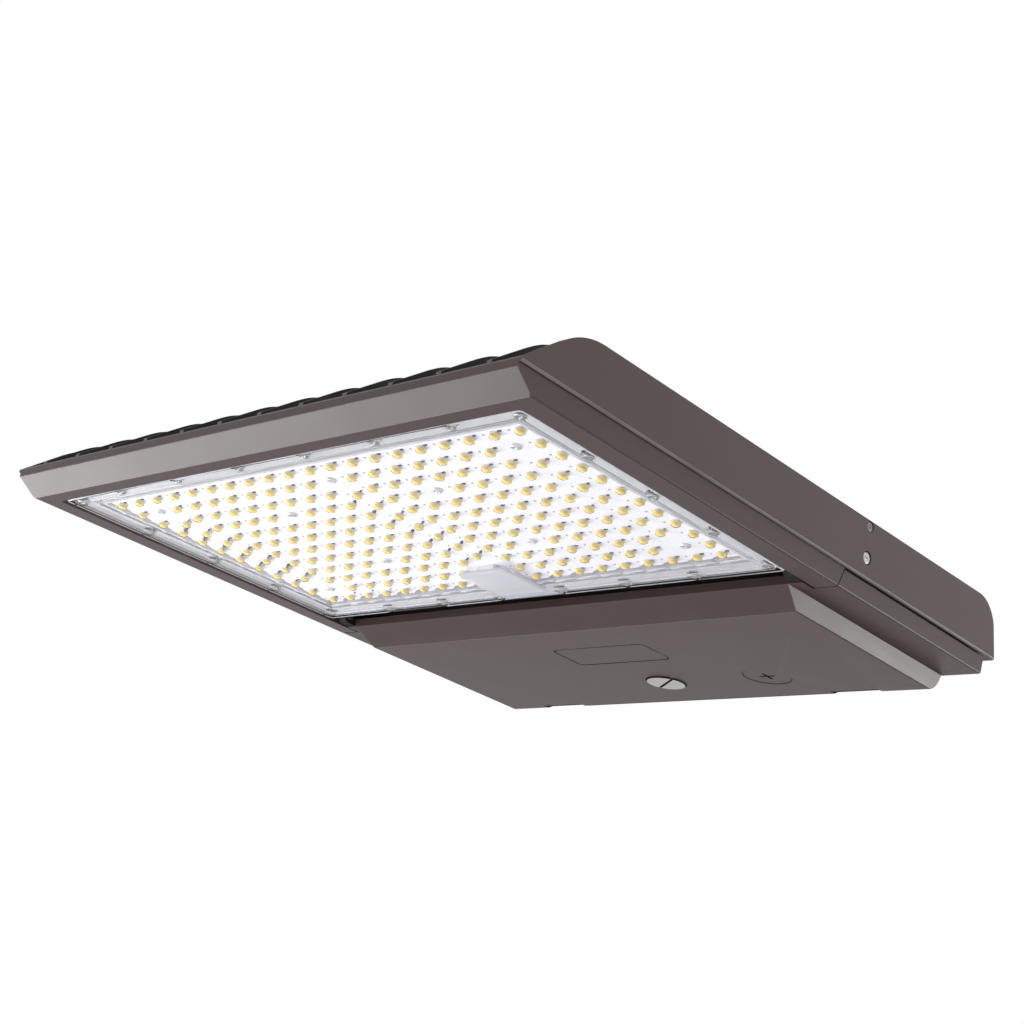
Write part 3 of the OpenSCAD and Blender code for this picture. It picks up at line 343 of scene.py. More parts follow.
BRONZE = (0.085, 0.055, 0.053, 1)
BRONZE_WEAR_AND_HIGHLIGHT = (0.30, 0.26, 0.25, 1)
bronze = finished("bronze_powder_paint", coat,
                  {"Colour": BRONZE, "Rubbed Colour": BRONZE_WEAR_AND_HIGHLIGHT, "Grain Size": 0.9,
                   "Grain Depth": 0.018, "Mottle": 0.2, "Dust": 0.12, "Roughness": 0.33},
                  {"IOR": 1.40})
FIN_ROOT_Y = 175.9
FINS_X, FINS_Y0, FINS_Y1, FINS_Z0, FINS_Z1 = 176.1, 2.95, 176.7, 12.3, 41.2
HINGE_X0, HINGE_X1, HINGE_Y0, HINGE_Y1 = 160, 176, 216, 243.5
EDGE_X, EDGE_Z = 177.9, 11.3
housing = eased("housing", "housing_casting", bronze, shortest=8.0, cut_y=FIN_ROOT_Y)
# Painted shade darkens the gaps between the fins and the hinge recess. A painted highlight lightens
# the sides' lower edges.
mark(housing, "grime",
     lambda x, y, z, n: abs(x) < FINS_X and FINS_Y0 < y < FINS_Y1 and FINS_Z0 < z < FINS_Z1)
mark(housing, "grime",
     lambda x, y, z, n: HINGE_X0 < abs(x) < HINGE_X1 and HINGE_Y0 < y < HINGE_Y1 and n.z > -0.5)
mark(housing, "rub", lambda x, y, z, n: abs(x) > EDGE_X and z < EDGE_Z and n.z < -0.6)
stands_for(housing, "fixture", "bronze_paint", "housing")

# ---- Thermal pad and LED board ----
# A grey graphite pad lies on the underside of the heat-sink plate, and a white aluminium-core
# board is screwed up against it. The solder mask is satin white.
pad = finished("graphite_pad", coat,
               {"Colour": (0.11, 0.115, 0.12, 1), "Grain Size": 0.5, "Grain Depth": 0.02,
                "Mottle": 0.4, "Dust": 0.0, "Roughness": 0.7})
nodes["thermal_pad"].data.materials[0] = pad
solder_mask = finished("white_solder_mask", coat,
                       {"Colour": (0.94, 0.93, 0.97, 1), "Rubbed Colour": (0.8, 0.8, 0.8, 1),
                        "Grain Size": 0.7, "Grain Depth": 0.004, "Mottle": 0.05, "Dust": 0.0,
                        "Roughness": 0.35})
nodes["led_board"].data.materials[0] = solder_mask

# ---- LEDs ----
# 224 white ceramic packages stand on the board in a grid, with gaps for the board's screws and
# the wires. Each has a domed yellow phosphor, with a small dark diode and a tinned test pad
# soldered beside it.
BOARD_X, BOARD_Z = 148.4, 5.5
LED_PX, LED_PY, LED_Y0 = 15.0, 13.75, 42.975
LAST_COL, LAST_ROW, HALF_COLS = 19, 11, 10
NARROW_COLS, SCREW_COLS, SCREW_ROWS = (1, 10, 18), (6, 13), (3, 8)
NARROW_START, NARROW_STRETCH = 2.3, 1.045
REAR_START, REAR_STRETCH, EDGE_START = 1.35, 0.98, 1.3


def col_x(i):
    return (i - LAST_COL / 2) * LED_PX


def row_y(j):
    return LED_Y0 + j * LED_PY


led_sites = [(col_x(i), row_y(0)) for i in range(LAST_COL + 1)]
led_sites += [(col_x(i), row_y(j)) for i in range(LAST_COL + 1) for j in range(1, LAST_ROW - 1)
              if i not in NARROW_COLS and not (i in SCREW_COLS and j in SCREW_ROWS)]
led_sites += [(col_x(i), row_y(NARROW_START) + k * LED_PY * NARROW_STRETCH)
              for i in NARROW_COLS for k in range(LAST_ROW - 4)]
led_sites += [(s * LED_PX * (REAR_START + REAR_STRETCH * k), row_y(LAST_ROW - 1))
              for s in (-1, 1) for k in range(HALF_COLS - 3)]
led_sites += [(col_x(i), row_y(LAST_ROW - 1)) for i in (0, LAST_COL)]
led_sites += [(s * LED_PX * (EDGE_START + k), row_y(LAST_ROW))
              for s in (-1, 1) for k in range(HALF_COLS - 1)]


def lathe(shell, rings, sides, at=(0, 0)):
    """Turns a profile of (radius, height) pairs in millimetres into a closed round solid."""
    loops = []
    for radius, height in rings:
        if radius == 0:
            loops.append([shell.verts.new((at[0] / 1000, at[1] / 1000, height / 1000))])
            continue
        loops.append([shell.verts.new(((at[0] + radius * math.cos(math.tau * k / sides)) / 1000,
                                       (at[1] + radius * math.sin(math.tau * k / sides)) / 1000,
                                       height / 1000)) for k in range(sides)])
    for low, high in zip(loops, loops[1:]):
        for k in range(sides):
            a, b = low[k % len(low)], low[(k + 1) % len(low)]
            c, d = high[(k + 1) % len(high)], high[k % len(high)]
            corners = [v for n, v in enumerate((a, b, c, d)) if v not in (a, b, c, d)[:n]]
            shell.faces.new(corners)
    for loop, turned in ((loops[0], True), (loops[-1], False)):
        if len(loop) > 1:
            shell.faces.new(loop[::-1] if turned else loop)


def solid(name, build, *materials, smooth=35):
    """A piece from a function that fills a bmesh, closed and facing outwards."""
    mesh = bpy.data.meshes.new(name)
    shell = bmesh.new()
    build(shell)
    bmesh.ops.recalc_face_normals(shell, faces=shell.faces)
    shell.to_mesh(mesh)
    shell.free()
    mesh.shade_smooth()
    mesh.set_sharp_from_angle(angle=math.radians(smooth))
    for material in materials:
        mesh.materials.append(material)
    piece = bpy.data.objects.new(name, mesh)
    things.link(piece)
    return piece


def box_in(shell, low, high, lift=0.0):
    """A box between two corners in millimetres, drawn in by lift at its low end."""
    (x0, y0, z0), (x1, y1, z1) = low, high
    ring = lambda d, z: [shell.verts.new((x / 1000, y / 1000, z / 1000)) for x, y in (
        (x0 + d, y0 + d), (x1 - d, y0 + d), (x1 - d, y1 - d), (x0 + d, y1 - d))]
    a, b = ring(lift, z0), ring(0, z1)
    faces = [shell.faces.new(a[::-1]), shell.faces.new(b)]
    faces += [shell.faces.new((a[k], a[(k + 1) % 4], b[(k + 1) % 4], b[k])) for k in range(4)]
    return faces


def settings_of(modifier, values):
    """Fills a node modifier's inputs by the identifier of each named socket."""
    for item in modifier.node_group.interface.items_tree:
        if item.item_type == "SOCKET" and item.in_out == "INPUT" and item.name in values:
            modifier[item.identifier] = values[item.name]


def seating_tree(name):
    """Nodes that set one small part at every point, facing along the points' own direction."""
    tree = bpy.data.node_groups.new(name, "GeometryNodeTree")
    for label, kind in (("Points", "Geometry"), ("Part", "Object"), ("Size", "Float"),
                        ("Spin", "Float"), ("Seed", "Int"), ("Material", "Material")):
        tree.interface.new_socket(label, in_out="INPUT", socket_type="NodeSocket" + kind)
    tree.interface.new_socket("Parts", in_out="OUTPUT", socket_type="NodeSocketGeometry")
    given = tree.nodes.new("NodeGroupInput").outputs
    part = put(tree, "GeometryNodeObjectInfo", {"Object": given["Part"]})
    facing = put(tree, "GeometryNodeInputNamedAttribute", {"Name": "facing"},
                 data_type="FLOAT_VECTOR")
    aimed = put(tree, "FunctionNodeAlignRotationToVector",
                {"Vector": facing.outputs["Attribute"]}, axis="Z")
    chance = put(tree, "FunctionNodeRandomValue", {"Seed": given["Seed"]}, data_type="FLOAT")
    angle = put(tree, "ShaderNodeMath", {0: chance.outputs[1], 1: given["Spin"]},
                operation="MULTIPLY")
    spin = put(tree, "FunctionNodeAxisAngleToRotation", {"Angle": angle.outputs[0]})
    turned = put(tree, "FunctionNodeRotateRotation",
                 {"Rotation": aimed.outputs[0], "Rotate By": spin.outputs[0]},
                 rotation_space="LOCAL")
    cloud = put(tree, "GeometryNodeInstanceOnPoints",
                {"Points": given["Points"], "Instance": part.outputs["Geometry"],
                 "Rotation": turned.outputs[0], "Scale": given["Size"]})
    real = put(tree, "GeometryNodeRealizeInstances", {"Geometry": cloud.outputs[0]})
    shown = put(tree, "GeometryNodeSetMaterial",
                {"Geometry": real.outputs[0], "Material": given["Material"]})
    end = tree.nodes.new("NodeGroupOutput")
    tree.links.new(shown.outputs[0], end.inputs["Parts"])
    return tree


seating = seating_tree("set_at_points")


def set_out(name, part, places, material, body, slot, replaced=(), spin=0.0, seed=1):
    """Sets a part at (place, facing) pairs and gives the whole group as one plain mesh."""
    points = bpy.data.meshes.new(name + "_points")
    points.from_pydata([p for p, _ in places], [], [])
    facing = points.attributes.new("facing", "FLOAT_VECTOR", "POINT")
    for k, (_, way) in enumerate(places):
        facing.data[k].vector = way
    carrier = bpy.data.objects.new(name + "_carrier", points)
    things.link(carrier)
    modifier = carrier.modifiers.new("set", "NODES")
    modifier.node_group = seating
    settings_of(modifier, {"Part": part, "Size": 1.0, "Spin": spin, "Seed": seed,
                           "Material": material})
    bpy.context.view_layer.update()
    ready = carrier.evaluated_get(bpy.context.evaluated_depsgraph_get())
    mesh = bpy.data.meshes.new_from_object(ready)
    mesh.name = name
    carrier.modifiers.clear()
    bpy.data.objects.remove(carrier)
    piece = bpy.data.objects.new(name, mesh)
    things.link(piece)
    if body:
        stands_for(piece, body, slot, *replaced)
    return piece


DOWN = (0, 0, -1)
ceramic = finished("led_ceramic", coat,
                   {"Colour": (0.85, 0.84, 0.82, 1), "Grain Size": 0.2, "Grain Depth": 0.004,
                    "Mottle": 0.05, "Dust": 0.0, "Roughness": 0.5})
phosphor = finished("led_phosphor", coat,
                    {"Colour": (0.93, 0.70, 0.19, 1), "Rubbed Colour": (0.97, 0.92, 0.66, 1),
                     "Grain Size": 0.3, "Grain Depth": 0.004, "Mottle": 0.10, "Dust": 0.0,
                     "Roughness": 0.3})
package = solid("led_package", lambda shell: box_in(shell, (-2.1, -2.1, 0), (2.1, 2.1, 0.5)))
dome = solid("led_dome_part", lambda shell: lathe(
    shell, [(2.0, 0.3), (2.6, 0.7), (2.6, 1.4), (2.25, 2.3), (1.45, 2.9), (0, 3.2)], 14),
    smooth=60)
# The dome is paler towards its foot, a painted halo for light spread by the lens: a yellow middle
# in a cream ring.
rim_of_dome = dome.data.attributes.new("rub", "FLOAT", "POINT")
for corner, value in zip(dome.data.vertices, rim_of_dome.data):
    value.value = max(0.0, 1.7 - corner.co.z * 800)
led_places = [(bench(x, y, BOARD_Z), DOWN) for x, y in led_sites]
set_out("led_packages", package, led_places, ceramic, "fixture", "board_white")
set_out("led_domes", dome, led_places, phosphor, "fixture", "led_yellow", ["leds"])


def beside_leds(dx, dy):
    """Places on the board at one step from every LED, less those past its ends."""
    return [(bench(x + dx, y + dy, BOARD_Z), DOWN) for x, y in led_sites
            if abs(x + dx) < BOARD_X - 1]


diode_black = finished("diode_resin", coat,
                       {"Colour": (0.08, 0.06, 0.12, 1), "Grain Size": 0.2, "Grain Depth": 0.004,
                        "Mottle": 0.1, "Dust": 0.0, "Roughness": 0.4})
diode = solid("diode_part", lambda shell: box_in(shell, (-0.9, -0.5, 0), (0.9, 0.5, 0.5)))
set_out("board_diodes", diode, beside_leds(4.0, -1.6), diode_black, "fixture", "rubber_black")
tin = finished("test_pad_tin", coat,
               {"Colour": (0.42, 0.44, 0.50, 1), "Grain Size": 0.2, "Grain Depth": 0.003,
                "Mottle": 0.1, "Dust": 0.0, "Roughness": 0.4})
test_pad = solid("test_pad_part", lambda shell: lathe(
    shell, [(0, 0), (0.7, 0), (0.7, 0.15), (0.45, 0.3), (0, 0.3)], 8))
set_out("test_pads", test_pad, beside_leds(-6.4, -0.6), tin, "fixture", "board_white")
for spare in (package, dome, diode, test_pad):
    bpy.data.objects.remove(spare)

# ---- Board screws and LED connector ----
# Nine small tinned steel pan-head screws hold the board and its pad to the plate. The wires come
# down through the notch at the board's rear edge into a white two-pole connector.
steel, given, result = surface_group("worked_metal", [
    ("Colour", "Color", (0.6, 0.6, 0.6, 1)), ("Streak Size", "Float", 0.2),
    ("Streak Depth", "Float", 0.004), ("Smudge", "Float", 0.3), ("Roughness", "Float", 0.3)])
spot = put(steel, "ShaderNodeTexCoord")
per_metre = maths(steel, "DIVIDE", 1000.0, given["Streak Size"])
drawn = put(steel, "ShaderNodeMapping", {"Vector": spot.outputs["Object"],
                                         "Scale": (0.04, 1.0, 1.0)})
streak = noise(steel, drawn.outputs[0], per_metre, 3.0)
smear = noise(steel, spot.outputs["Object"], 60.0, 4.0, 0.6)
dull = maths(steel, "MULTIPLY", smear, given["Smudge"])
darker = blend_colour(steel, 1.0, given["Colour"], (0.55, 0.54, 0.52, 1), "MULTIPLY")
steel.links.new(blend_colour(steel, dull, given["Colour"], darker), result.inputs["Colour"])
rough = maths(steel, "ADD", given["Roughness"], maths(steel, "MULTIPLY", dull, 0.45))
rough = maths(steel, "ADD", rough, maths(steel, "MULTIPLY", streak, 0.12), True)
steel.links.new(rough, result.inputs["Roughness"])
depth = maths(steel, "MULTIPLY", given["Streak Depth"], 0.001)
steel.links.new(maths(steel, "MULTIPLY", streak, depth), result.inputs["Height"])

METAL = {"Metallic": 1.0}
zinc = finished("zinc_plated_steel", steel,
                {"Colour": (0.55, 0.55, 0.54, 1), "Streak Size": 0.3, "Streak Depth": 0.004,
                 "Smudge": 0.4, "Roughness": 0.28}, METAL)


def cross_cutter(shell, arm, half, top, depth):
    """The tapered star of a cross recess, from its mouth down to its tip."""
    plan = [(arm, half), (half, half), (half, arm), (-half, arm), (-half, half), (-arm, half),
            (-arm, -half), (-half, -half), (-half, -arm), (half, -arm), (half, -half),
            (arm, -half)]
    loops = [[shell.verts.new((x * k / 1000, y * k / 1000, z / 1000)) for x, y in plan]
             for k, z in ((1.0, top + 0.5), (1.0, top), (0.45, top - depth))]
    for a, b in zip(loops, loops[1:]):
        for k in range(12):
            shell.faces.new((a[k], a[(k + 1) % 12], b[(k + 1) % 12], b[k]))
    shell.faces.new(loops[0])
    shell.faces.new(loops[-1][::-1])


def carved(piece, tool, operation="DIFFERENCE"):
    """Cuts a piece by a tool, or joins them, and leaves a plain mesh without the tool."""
    modifier = piece.modifiers.new("carve", "BOOLEAN")
    modifier.object, modifier.operation, modifier.solver = tool, operation, "MANIFOLD"
    baked(piece)
    bpy.data.objects.remove(tool)


def pan_screw(head_r, head_h, thread_r, length):
    """A pan-head screw with a cross recess: its head stands on z = 0, its thread is below."""
    rings = [(0, -length), (thread_r * 0.6, -length), (thread_r, -length + thread_r * 0.6),
             (thread_r, 0), (head_r * 0.97, 0), (head_r, head_h * 0.12), (head_r, head_h * 0.42),
             (head_r * 0.93, head_h * 0.72), (head_r * 0.72, head_h * 0.92),
             (head_r * 0.4, head_h), (0, head_h)]
    screw = solid("screw_part", lambda shell: lathe(shell, rings, 24), smooth=40)
    cutter = solid("cross_part", lambda shell: cross_cutter(
        shell, head_r * 0.56, head_r * 0.13, head_h, head_h * 0.7))
    carved(screw, cutter)
    return screw


def screws(name, node, places, material, slot, head_r, head_h, thread_r, length, seed):
    """A group of like screws, each turned by chance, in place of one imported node."""
    part = pan_screw(head_r, head_h, thread_r, length)
    set_out(name, part, places, material, "fixture", slot, [node], math.tau, seed)
    bpy.data.objects.remove(part)


tinned = finished("tinned_steel", steel,
                  {"Colour": (0.86, 0.86, 0.86, 1), "Streak Size": 0.3, "Streak Depth": 0.003,
                   "Smudge": 0.15, "Roughness": 0.22}, METAL)
BOARD_SCREW_SITES = [(col_x(i), row_y(1)) for i in NARROW_COLS]
BOARD_SCREW_SITES += [(col_x(i), row_y(j)) for i in SCREW_COLS for j in SCREW_ROWS]
BOARD_SCREW_SITES += [(col_x(i), row_y(LAST_ROW - 1)) for i in (1, LAST_COL - 1)]
screws("board_screws", "board_screws",
       [(bench(x, y, BOARD_Z), DOWN) for x, y in BOARD_SCREW_SITES], tinned, "screw_steel",
       head_r=2.8, head_h=1.4, thread_r=1.6, length=5.4, seed=3)
nylon = finished("connector_nylon", coat,
                 {"Colour": (0.88, 0.88, 0.90, 1), "Grain Size": 0.6, "Grain Depth": 0.006,
                  "Mottle": 0.08, "Dust": 0.0, "Roughness": 0.45})
stands_for(eased("led_connector", "led_connector", nylon, 0.2), "fixture", "connector_white",
           "led_connector")

# ---- Optic gasket and cover ----
# A grey silicone cord seals the cover to the plate. The cover is one moulding of clear
# polycarbonate: a lens over each LED with a pocket for its dome, fine ribs round the rim, a boss
# for each rim screw and a frosted hump over the wires at the middle of its rear edge.
silicone = finished("grey_silicone", coat,
                    {"Colour": (0.40, 0.40, 0.40, 1), "Grain Size": 0.4, "Grain Depth": 0.006,
                     "Mottle": 0.1, "Dust": 0.0, "Roughness": 0.6})
stands_for(eased("optic_gasket", "optic_gasket", silicone, 0.3), "fixture", "gasket_grey",
           "optic_gasket")
OPTIC_X, OPTIC_Y0, OPTIC_Y1 = 162.9, 21.1, 215.1
RIM_Z, LENS_Z, LENS_TOP, SEAL_Z = 1.2, 1.6, 3.6, 6.2
# Each corner of the rim's section, as its inset from the outline and its height.
RIM_SECTION = [(14.9, LENS_Z), (9.6, LENS_Z), (9.4, 0.7), (8.2, 0.7), (8.05, RIM_Z + 0.3)]
for rib in (6.6, 5.1, 3.6):
    RIM_SECTION += [(rib + 0.9, RIM_Z + 0.3), (rib + 0.75, 0.7), (rib + 0.15, 0.7),
                    (rib, RIM_Z + 0.3)]
RIM_SECTION += [(3.4, RIM_Z + 0.3), (3.3, 2.2), (1.6, 2.2), (1.4, 0.8), (0.25, 0.8), (0, 1.1),
                (0, 3.3), (0.3, LENS_TOP), (10, LENS_TOP), (10.2, SEAL_Z), (13.3, SEAL_Z),
                (13.5, LENS_TOP), (14.9, LENS_TOP)]


def rounded_ring(shell, half_x, y0, y1, radius, z, steps):
    """A level loop of points round a rectangle with rounded corners, in bench millimetres."""
    x = half_x - radius
    loop = []
    for cx, cy, start in ((x, y1 - radius, 0), (-x, y1 - radius, 90),
                          (-x, y0 + radius, 180), (x, y0 + radius, 270)):
        for k in range(steps + 1):
            a = math.radians(start + 90 * k / steps)
            loop.append(shell.verts.new(bench(cx + radius * math.cos(a),
                                              cy + radius * math.sin(a), z)))
    return loop


def walled(shell, loops):
    """Walls from each loop to the next, and a flat face across the first and the last."""
    for a, b in zip(loops, loops[1:]):
        for k in range(len(a)):
            n = (k + 1) % len(a)
            shell.faces.new((a[k], a[n], b[n], b[k]))
    shell.faces.new(loops[0])
    shell.faces.new(loops[-1])


def cover_shell(shell):
    """The cover's rim section carried round its outline, closed by its two flat faces."""
    walled(shell, [rounded_ring(shell, OPTIC_X - inset, OPTIC_Y0 + inset, OPTIC_Y1 - inset,
                                max(2.5 - inset, 0.6), z, 4) for inset, z in RIM_SECTION])


cover = solid("optic_cover", cover_shell)
LENS_R, LENS_H = 5.2, 1.8
lens_ball = (LENS_R ** 2 + LENS_H ** 2) / (2 * LENS_H)
lens_rings = [(0, -0.3), (LENS_R, -0.3)]
for share in (0.0, 0.28, 0.55, 0.8):
    across = LENS_R * (1 - share)
    lens_rings.append((across, math.sqrt(lens_ball ** 2 - across ** 2) - lens_ball + LENS_H))
lens_rings.append((0, LENS_H))
lens = solid("lens_part", lambda shell: lathe(shell, lens_rings, 16))
lenses = set_out("lenses", lens, [(bench(x, y, LENS_Z), DOWN) for x, y in led_sites], None,
                 None, None)
bpy.data.objects.remove(lens)
carved(cover, lenses, "UNION")
pocket = solid("pocket_part", lambda shell: lathe(
    shell, [(0, -3.0), (2.75, -3.0), (2.75, -2.5), (2.4, -1.5), (1.55, -0.85), (0, -0.55)],
    14))
pockets = set_out("pockets", pocket, [(bench(x, y, LENS_Z), DOWN) for x, y in led_sites], None,
                  None, None)
bpy.data.objects.remove(pocket)
carved(cover, pockets)

RIM_SCREW_SITES = [(k * 47.5 / 2, OPTIC_Y0 + 3.5, 0, -1) for k in range(-5, 6, 2)]
RIM_SCREW_SITES += [(k * 44.0 / 2, OPTIC_Y1 - 3.5, 0, 1) for k in range(-5, 6, 2)]
side_in = OPTIC_X - 6.5
side_y0, side_y1 = OPTIC_Y0 + 6.5, OPTIC_Y1 - 6.5
RIM_SCREW_SITES += [(s * side_in, (side_y0 + side_y1) / 2 + k * 46.0, s, 0)
                    for s in (-1, 1) for k in (-1, 0, 1)]
RIM_SCREW_SITES += [(s * side_in, y, s, 0) for s in (-1, 1) for y in (side_y0, side_y1)]


def boss_set(shell):
    """A round boss on the cover's inner side at every rim screw."""
    for x, y, _, _ in RIM_SCREW_SITES:
        at = bench(x, y, 0) * 1000
        lathe(shell, [(0, at.z + 1.25), (3.8, at.z + 1.25), (3.8, at.z + 6.8),
                      (3.5, at.z + 7.1), (0, at.z + 7.1)], 20, (at.x, at.y))


def bore_set(shell):
    """A counterbore and a clearance hole at every rim screw, with a notch in the edge beside it."""
    for x, y, side_x, side_y in RIM_SCREW_SITES:
        at = bench(x, y, 0) * 1000
        lathe(shell, [(0, at.z - 2), (3.3, at.z - 2), (3.3, at.z + 2.5), (1.8, at.z + 2.6),
                      (1.8, at.z + 8), (0, at.z + 8)], 20, (at.x, at.y))
        edge_x = side_x * OPTIC_X if side_x else at.x
        edge_y = at.y if side_x else bench(0, OPTIC_Y0 if side_y < 0 else OPTIC_Y1, 0).y * 1000
        half_x, half_y = (1.2, 0.9) if side_x else (0.9, 1.2)
        box_in(shell, (edge_x - half_x, edge_y - half_y, at.z - 1),
               (edge_x + half_x, edge_y + half_y, at.z + 5))


HUMP_X, HUMP_Y0, HUMP_Y1, HUMP_R = 18, 173.6, 208.1, 5.0


def hump_shell(shell):
    """Outline of the cover over the wires, drawn in towards its crown."""
    walled(shell, [rounded_ring(shell, HUMP_X - inset, HUMP_Y0 + inset, HUMP_Y1 - inset,
                                HUMP_R - inset * 0.8, z, 5)
                   for inset, z in ((0, 2.6), (0, 0.9), (0.5, 0.2), (1.3, -0.25), (2.4, -0.4))])


carved(cover, solid("bosses", boss_set), "UNION")
carved(cover, solid("hump", hump_shell), "UNION")
HOLLOW_Y, HOLLOW_HALF_X, HOLLOW_HALF_Y = 188, 16.2, 12.6
hollow = bench(0, HOLLOW_Y, 0) * 1000
carved(cover, solid("hump_hollow", lambda shell: box_in(
    shell, (-HOLLOW_HALF_X, hollow.y - HOLLOW_HALF_Y, hollow.z + 1.0),
    (HOLLOW_HALF_X, hollow.y + HOLLOW_HALF_Y, hollow.z + 5), 2)))
carved(cover, solid("bores", bore_set))
cover.data.shade_smooth()
cover.data.set_sharp_from_angle(angle=math.radians(CREASE))


def clear_plastic(name, tint, transmission, roughness, ior, gloss=0.0):
    """Clear polycarbonate, which lets the lamps through to what is behind it."""
    material = finished(name, coat,
                        {"Colour": tint, "Grain Size": 3.0, "Grain Depth": 0.002,
                         "Mottle": 0.02, "Dust": 0.0, "Roughness": roughness},
                        {"IOR": ior, "Transmission Weight": transmission, "Coat Weight": gloss})
    tree = material.node_tree
    shader = tree.nodes["Principled BSDF"]
    ray = put(tree, "ShaderNodeLightPath")
    open_side = put(tree, "ShaderNodeBsdfTransparent", {"Color": (0.96, 0.96, 0.97, 1)})
    either = put(tree, "ShaderNodeMixShader", {0: ray.outputs["Is Shadow Ray"],
                                               1: shader.outputs[0], 2: open_side.outputs[0]})
    tree.links.new(either.outputs[0], tree.nodes["Material Output"].inputs["Surface"])
    return material


# The lenses bend little light here, so that every LED shows plainly, and shine by their coat.
cover.data.materials.clear()
for name, *values in (
        ("clear_polycarbonate", (0.99, 0.99, 1.0, 1), 1.0, 0.03, 1.04, 0.35),
        ("rim_polycarbonate", (0.90, 0.90, 0.93, 1), 0.45, 0.10, 1.45),
        ("frosted_polycarbonate", (0.78, 0.78, 0.82, 1), 0.30, 0.45, 1.20)):
    cover.data.materials.append(clear_plastic(name, *values))
RIM_IN, RIBS_IN, RIB_FACE_Z = 14.95, 9.5, 1.3
HUMP_REACH = 42
for face in cover.data.polygons:
    middle = face.center * 1000
    x, y, z = abs(middle.x), middle.y + BODY_LENGTH, middle.z + MOUNT_HEIGHT
    inset = min(OPTIC_X - x, y - OPTIC_Y0, OPTIC_Y1 - y)
    if z > LENS_TOP - 0.1:
        in_rim = inset < RIM_IN
    else:
        in_rim = inset < RIBS_IN and abs(face.normal.z) > 0.5 and z < RIB_FACE_Z
    over_wires = x < HUMP_X + 0.5 and inset < HUMP_REACH and y > HUMP_Y0 - 0.6
    face.material_index = 2 if over_wires else int(in_rim)
stands_for(cover, "fixture", "optic_clear", "optic_panel")
screws("rim_screws", "optic_screws", [(bench(x, y, 2.5), DOWN) for x, y, _, _ in RIM_SCREW_SITES],
       zinc, "screw_steel", head_r=3.0, head_h=1.4, thread_r=1.6, length=8.0, seed=5)

# ---- Wire grommet, gear tray and what it carries ----
# A black rubber grommet lines the wire hole. A galvanised sheet-steel tray hangs under the roof,
# screwed to the side walls, and carries the driver, the surge protector and the terminal block.
rubber = finished("black_rubber", coat,
                  {"Colour": (0.022, 0.022, 0.023, 1), "Grain Size": 0.5, "Grain Depth": 0.012,
                   "Mottle": 0.2, "Dust": 0.3, "Roughness": 0.65})
stands_for(eased("wire_grommet", "wire_grommet", rubber, 0.25), "fixture", "rubber_black",
           "wire_grommet")
galvanised = finished("galvanised_steel", steel,
                      {"Colour": (0.52, 0.53, 0.53, 1), "Streak Size": 2.5, "Streak Depth": 0.01,
                       "Smudge": 0.5, "Roughness": 0.34}, METAL)
stands_for(eased("gear_tray", "gear_tray", galvanised, 0.2), "fixture", "tray_steel", "gear_tray")
can = finished("driver_can", steel,
               {"Colour": (0.66, 0.66, 0.67, 1), "Streak Size": 0.8, "Streak Depth": 0.006,
                "Smudge": 0.35, "Roughness": 0.36}, METAL)
stands_for(eased("driver_case", "driver_case", can, 0.5), "fixture", "driver_metal", "driver_case")
label = finished("label_film", coat,
                 {"Colour": (0.84, 0.84, 0.82, 1), "Grain Size": 0.8, "Grain Depth": 0.003,
                  "Mottle": 0.06, "Dust": 0.0, "Roughness": 0.4})
stands_for(eased("driver_label_plate", "driver_label_plate", label, 0.1), "fixture",
           "label_white", "driver_label_plate")
potted = finished("surge_case", coat,
                  {"Colour": (0.030, 0.034, 0.038, 1), "Grain Size": 0.7, "Grain Depth": 0.015,
                   "Mottle": 0.2, "Dust": 0.1, "Roughness": 0.5})
stands_for(eased("surge_protector", "surge_protector", potted, 0.5), "fixture", "surge_plastic",
           "surge_protector")
cream = finished("terminal_nylon", coat,
                 {"Colour": (0.74, 0.71, 0.62, 1), "Grain Size": 0.6, "Grain Depth": 0.008,
                  "Mottle": 0.1, "Dust": 0.0, "Roughness": 0.42})
stands_for(eased("terminal_block", "terminal_block", cream, 0.35), "fixture", "block_plastic",
           "terminal_block")
green = finished("ground_screw_green", coat,
                 {"Colour": (0.05, 0.26, 0.09, 1), "Rubbed Colour": (0.5, 0.5, 0.45, 1),
                  "Grain Size": 0.4, "Grain Depth": 0.006, "Mottle": 0.2, "Dust": 0.0,
                  "Roughness": 0.35})
stands_for(eased("ground_screw", "ground_screw", green, 0.2), "fixture", "ground_green",
           "ground_screw")
brass = finished("terminal_brass", steel,
                 {"Colour": (0.72, 0.53, 0.22, 1), "Streak Size": 0.2, "Streak Depth": 0.003,
                  "Smudge": 0.4, "Roughness": 0.3}, METAL)
TRAY_Z = 34.89
BAY_Y = 347.5
SURGE_X, BLOCK_X, STUD_Y = 112.0, -95.0, 336.6
DRIVER_Y, DRIVER_HOLE_X, DRIVER_HOLE_Y = 283.0, 119.0, 24.0
SURGE_HOLE_X, BLOCK_HOLE_X, CATCH_HOLE_X, CATCH_HOLE_Y = 36.0, 17.5, 20.5, 6.0
driver_holes = [(s * DRIVER_HOLE_X, DRIVER_Y + t * DRIVER_HOLE_Y)
                for s in (-1, 1) for t in (-1, 1)]
catch_holes = [(s * CATCH_HOLE_X, STUD_Y + t * CATCH_HOLE_Y) for s in (-1, 1) for t in (-1, 1)]
for name, sites, under, seed in (
        ("driver_screws", driver_holes, 2.0, 11),
        ("surge_screws", [(SURGE_X + s * SURGE_HOLE_X, BAY_Y) for s in (-1, 1)], 3.0, 12),
        ("block_screws", [(BLOCK_X + s * BLOCK_HOLE_X, BAY_Y) for s in (-1, 1)], 4.0, 13),
        ("catch_screws", catch_holes, 1.5, 14)):
    screws(name, name, [(bench(x, y, TRAY_Z - under), DOWN) for x, y in sites], zinc,
           "screw_steel", head_r=3.0, head_h=1.8, thread_r=1.7, length=1.5 + under, seed=seed)
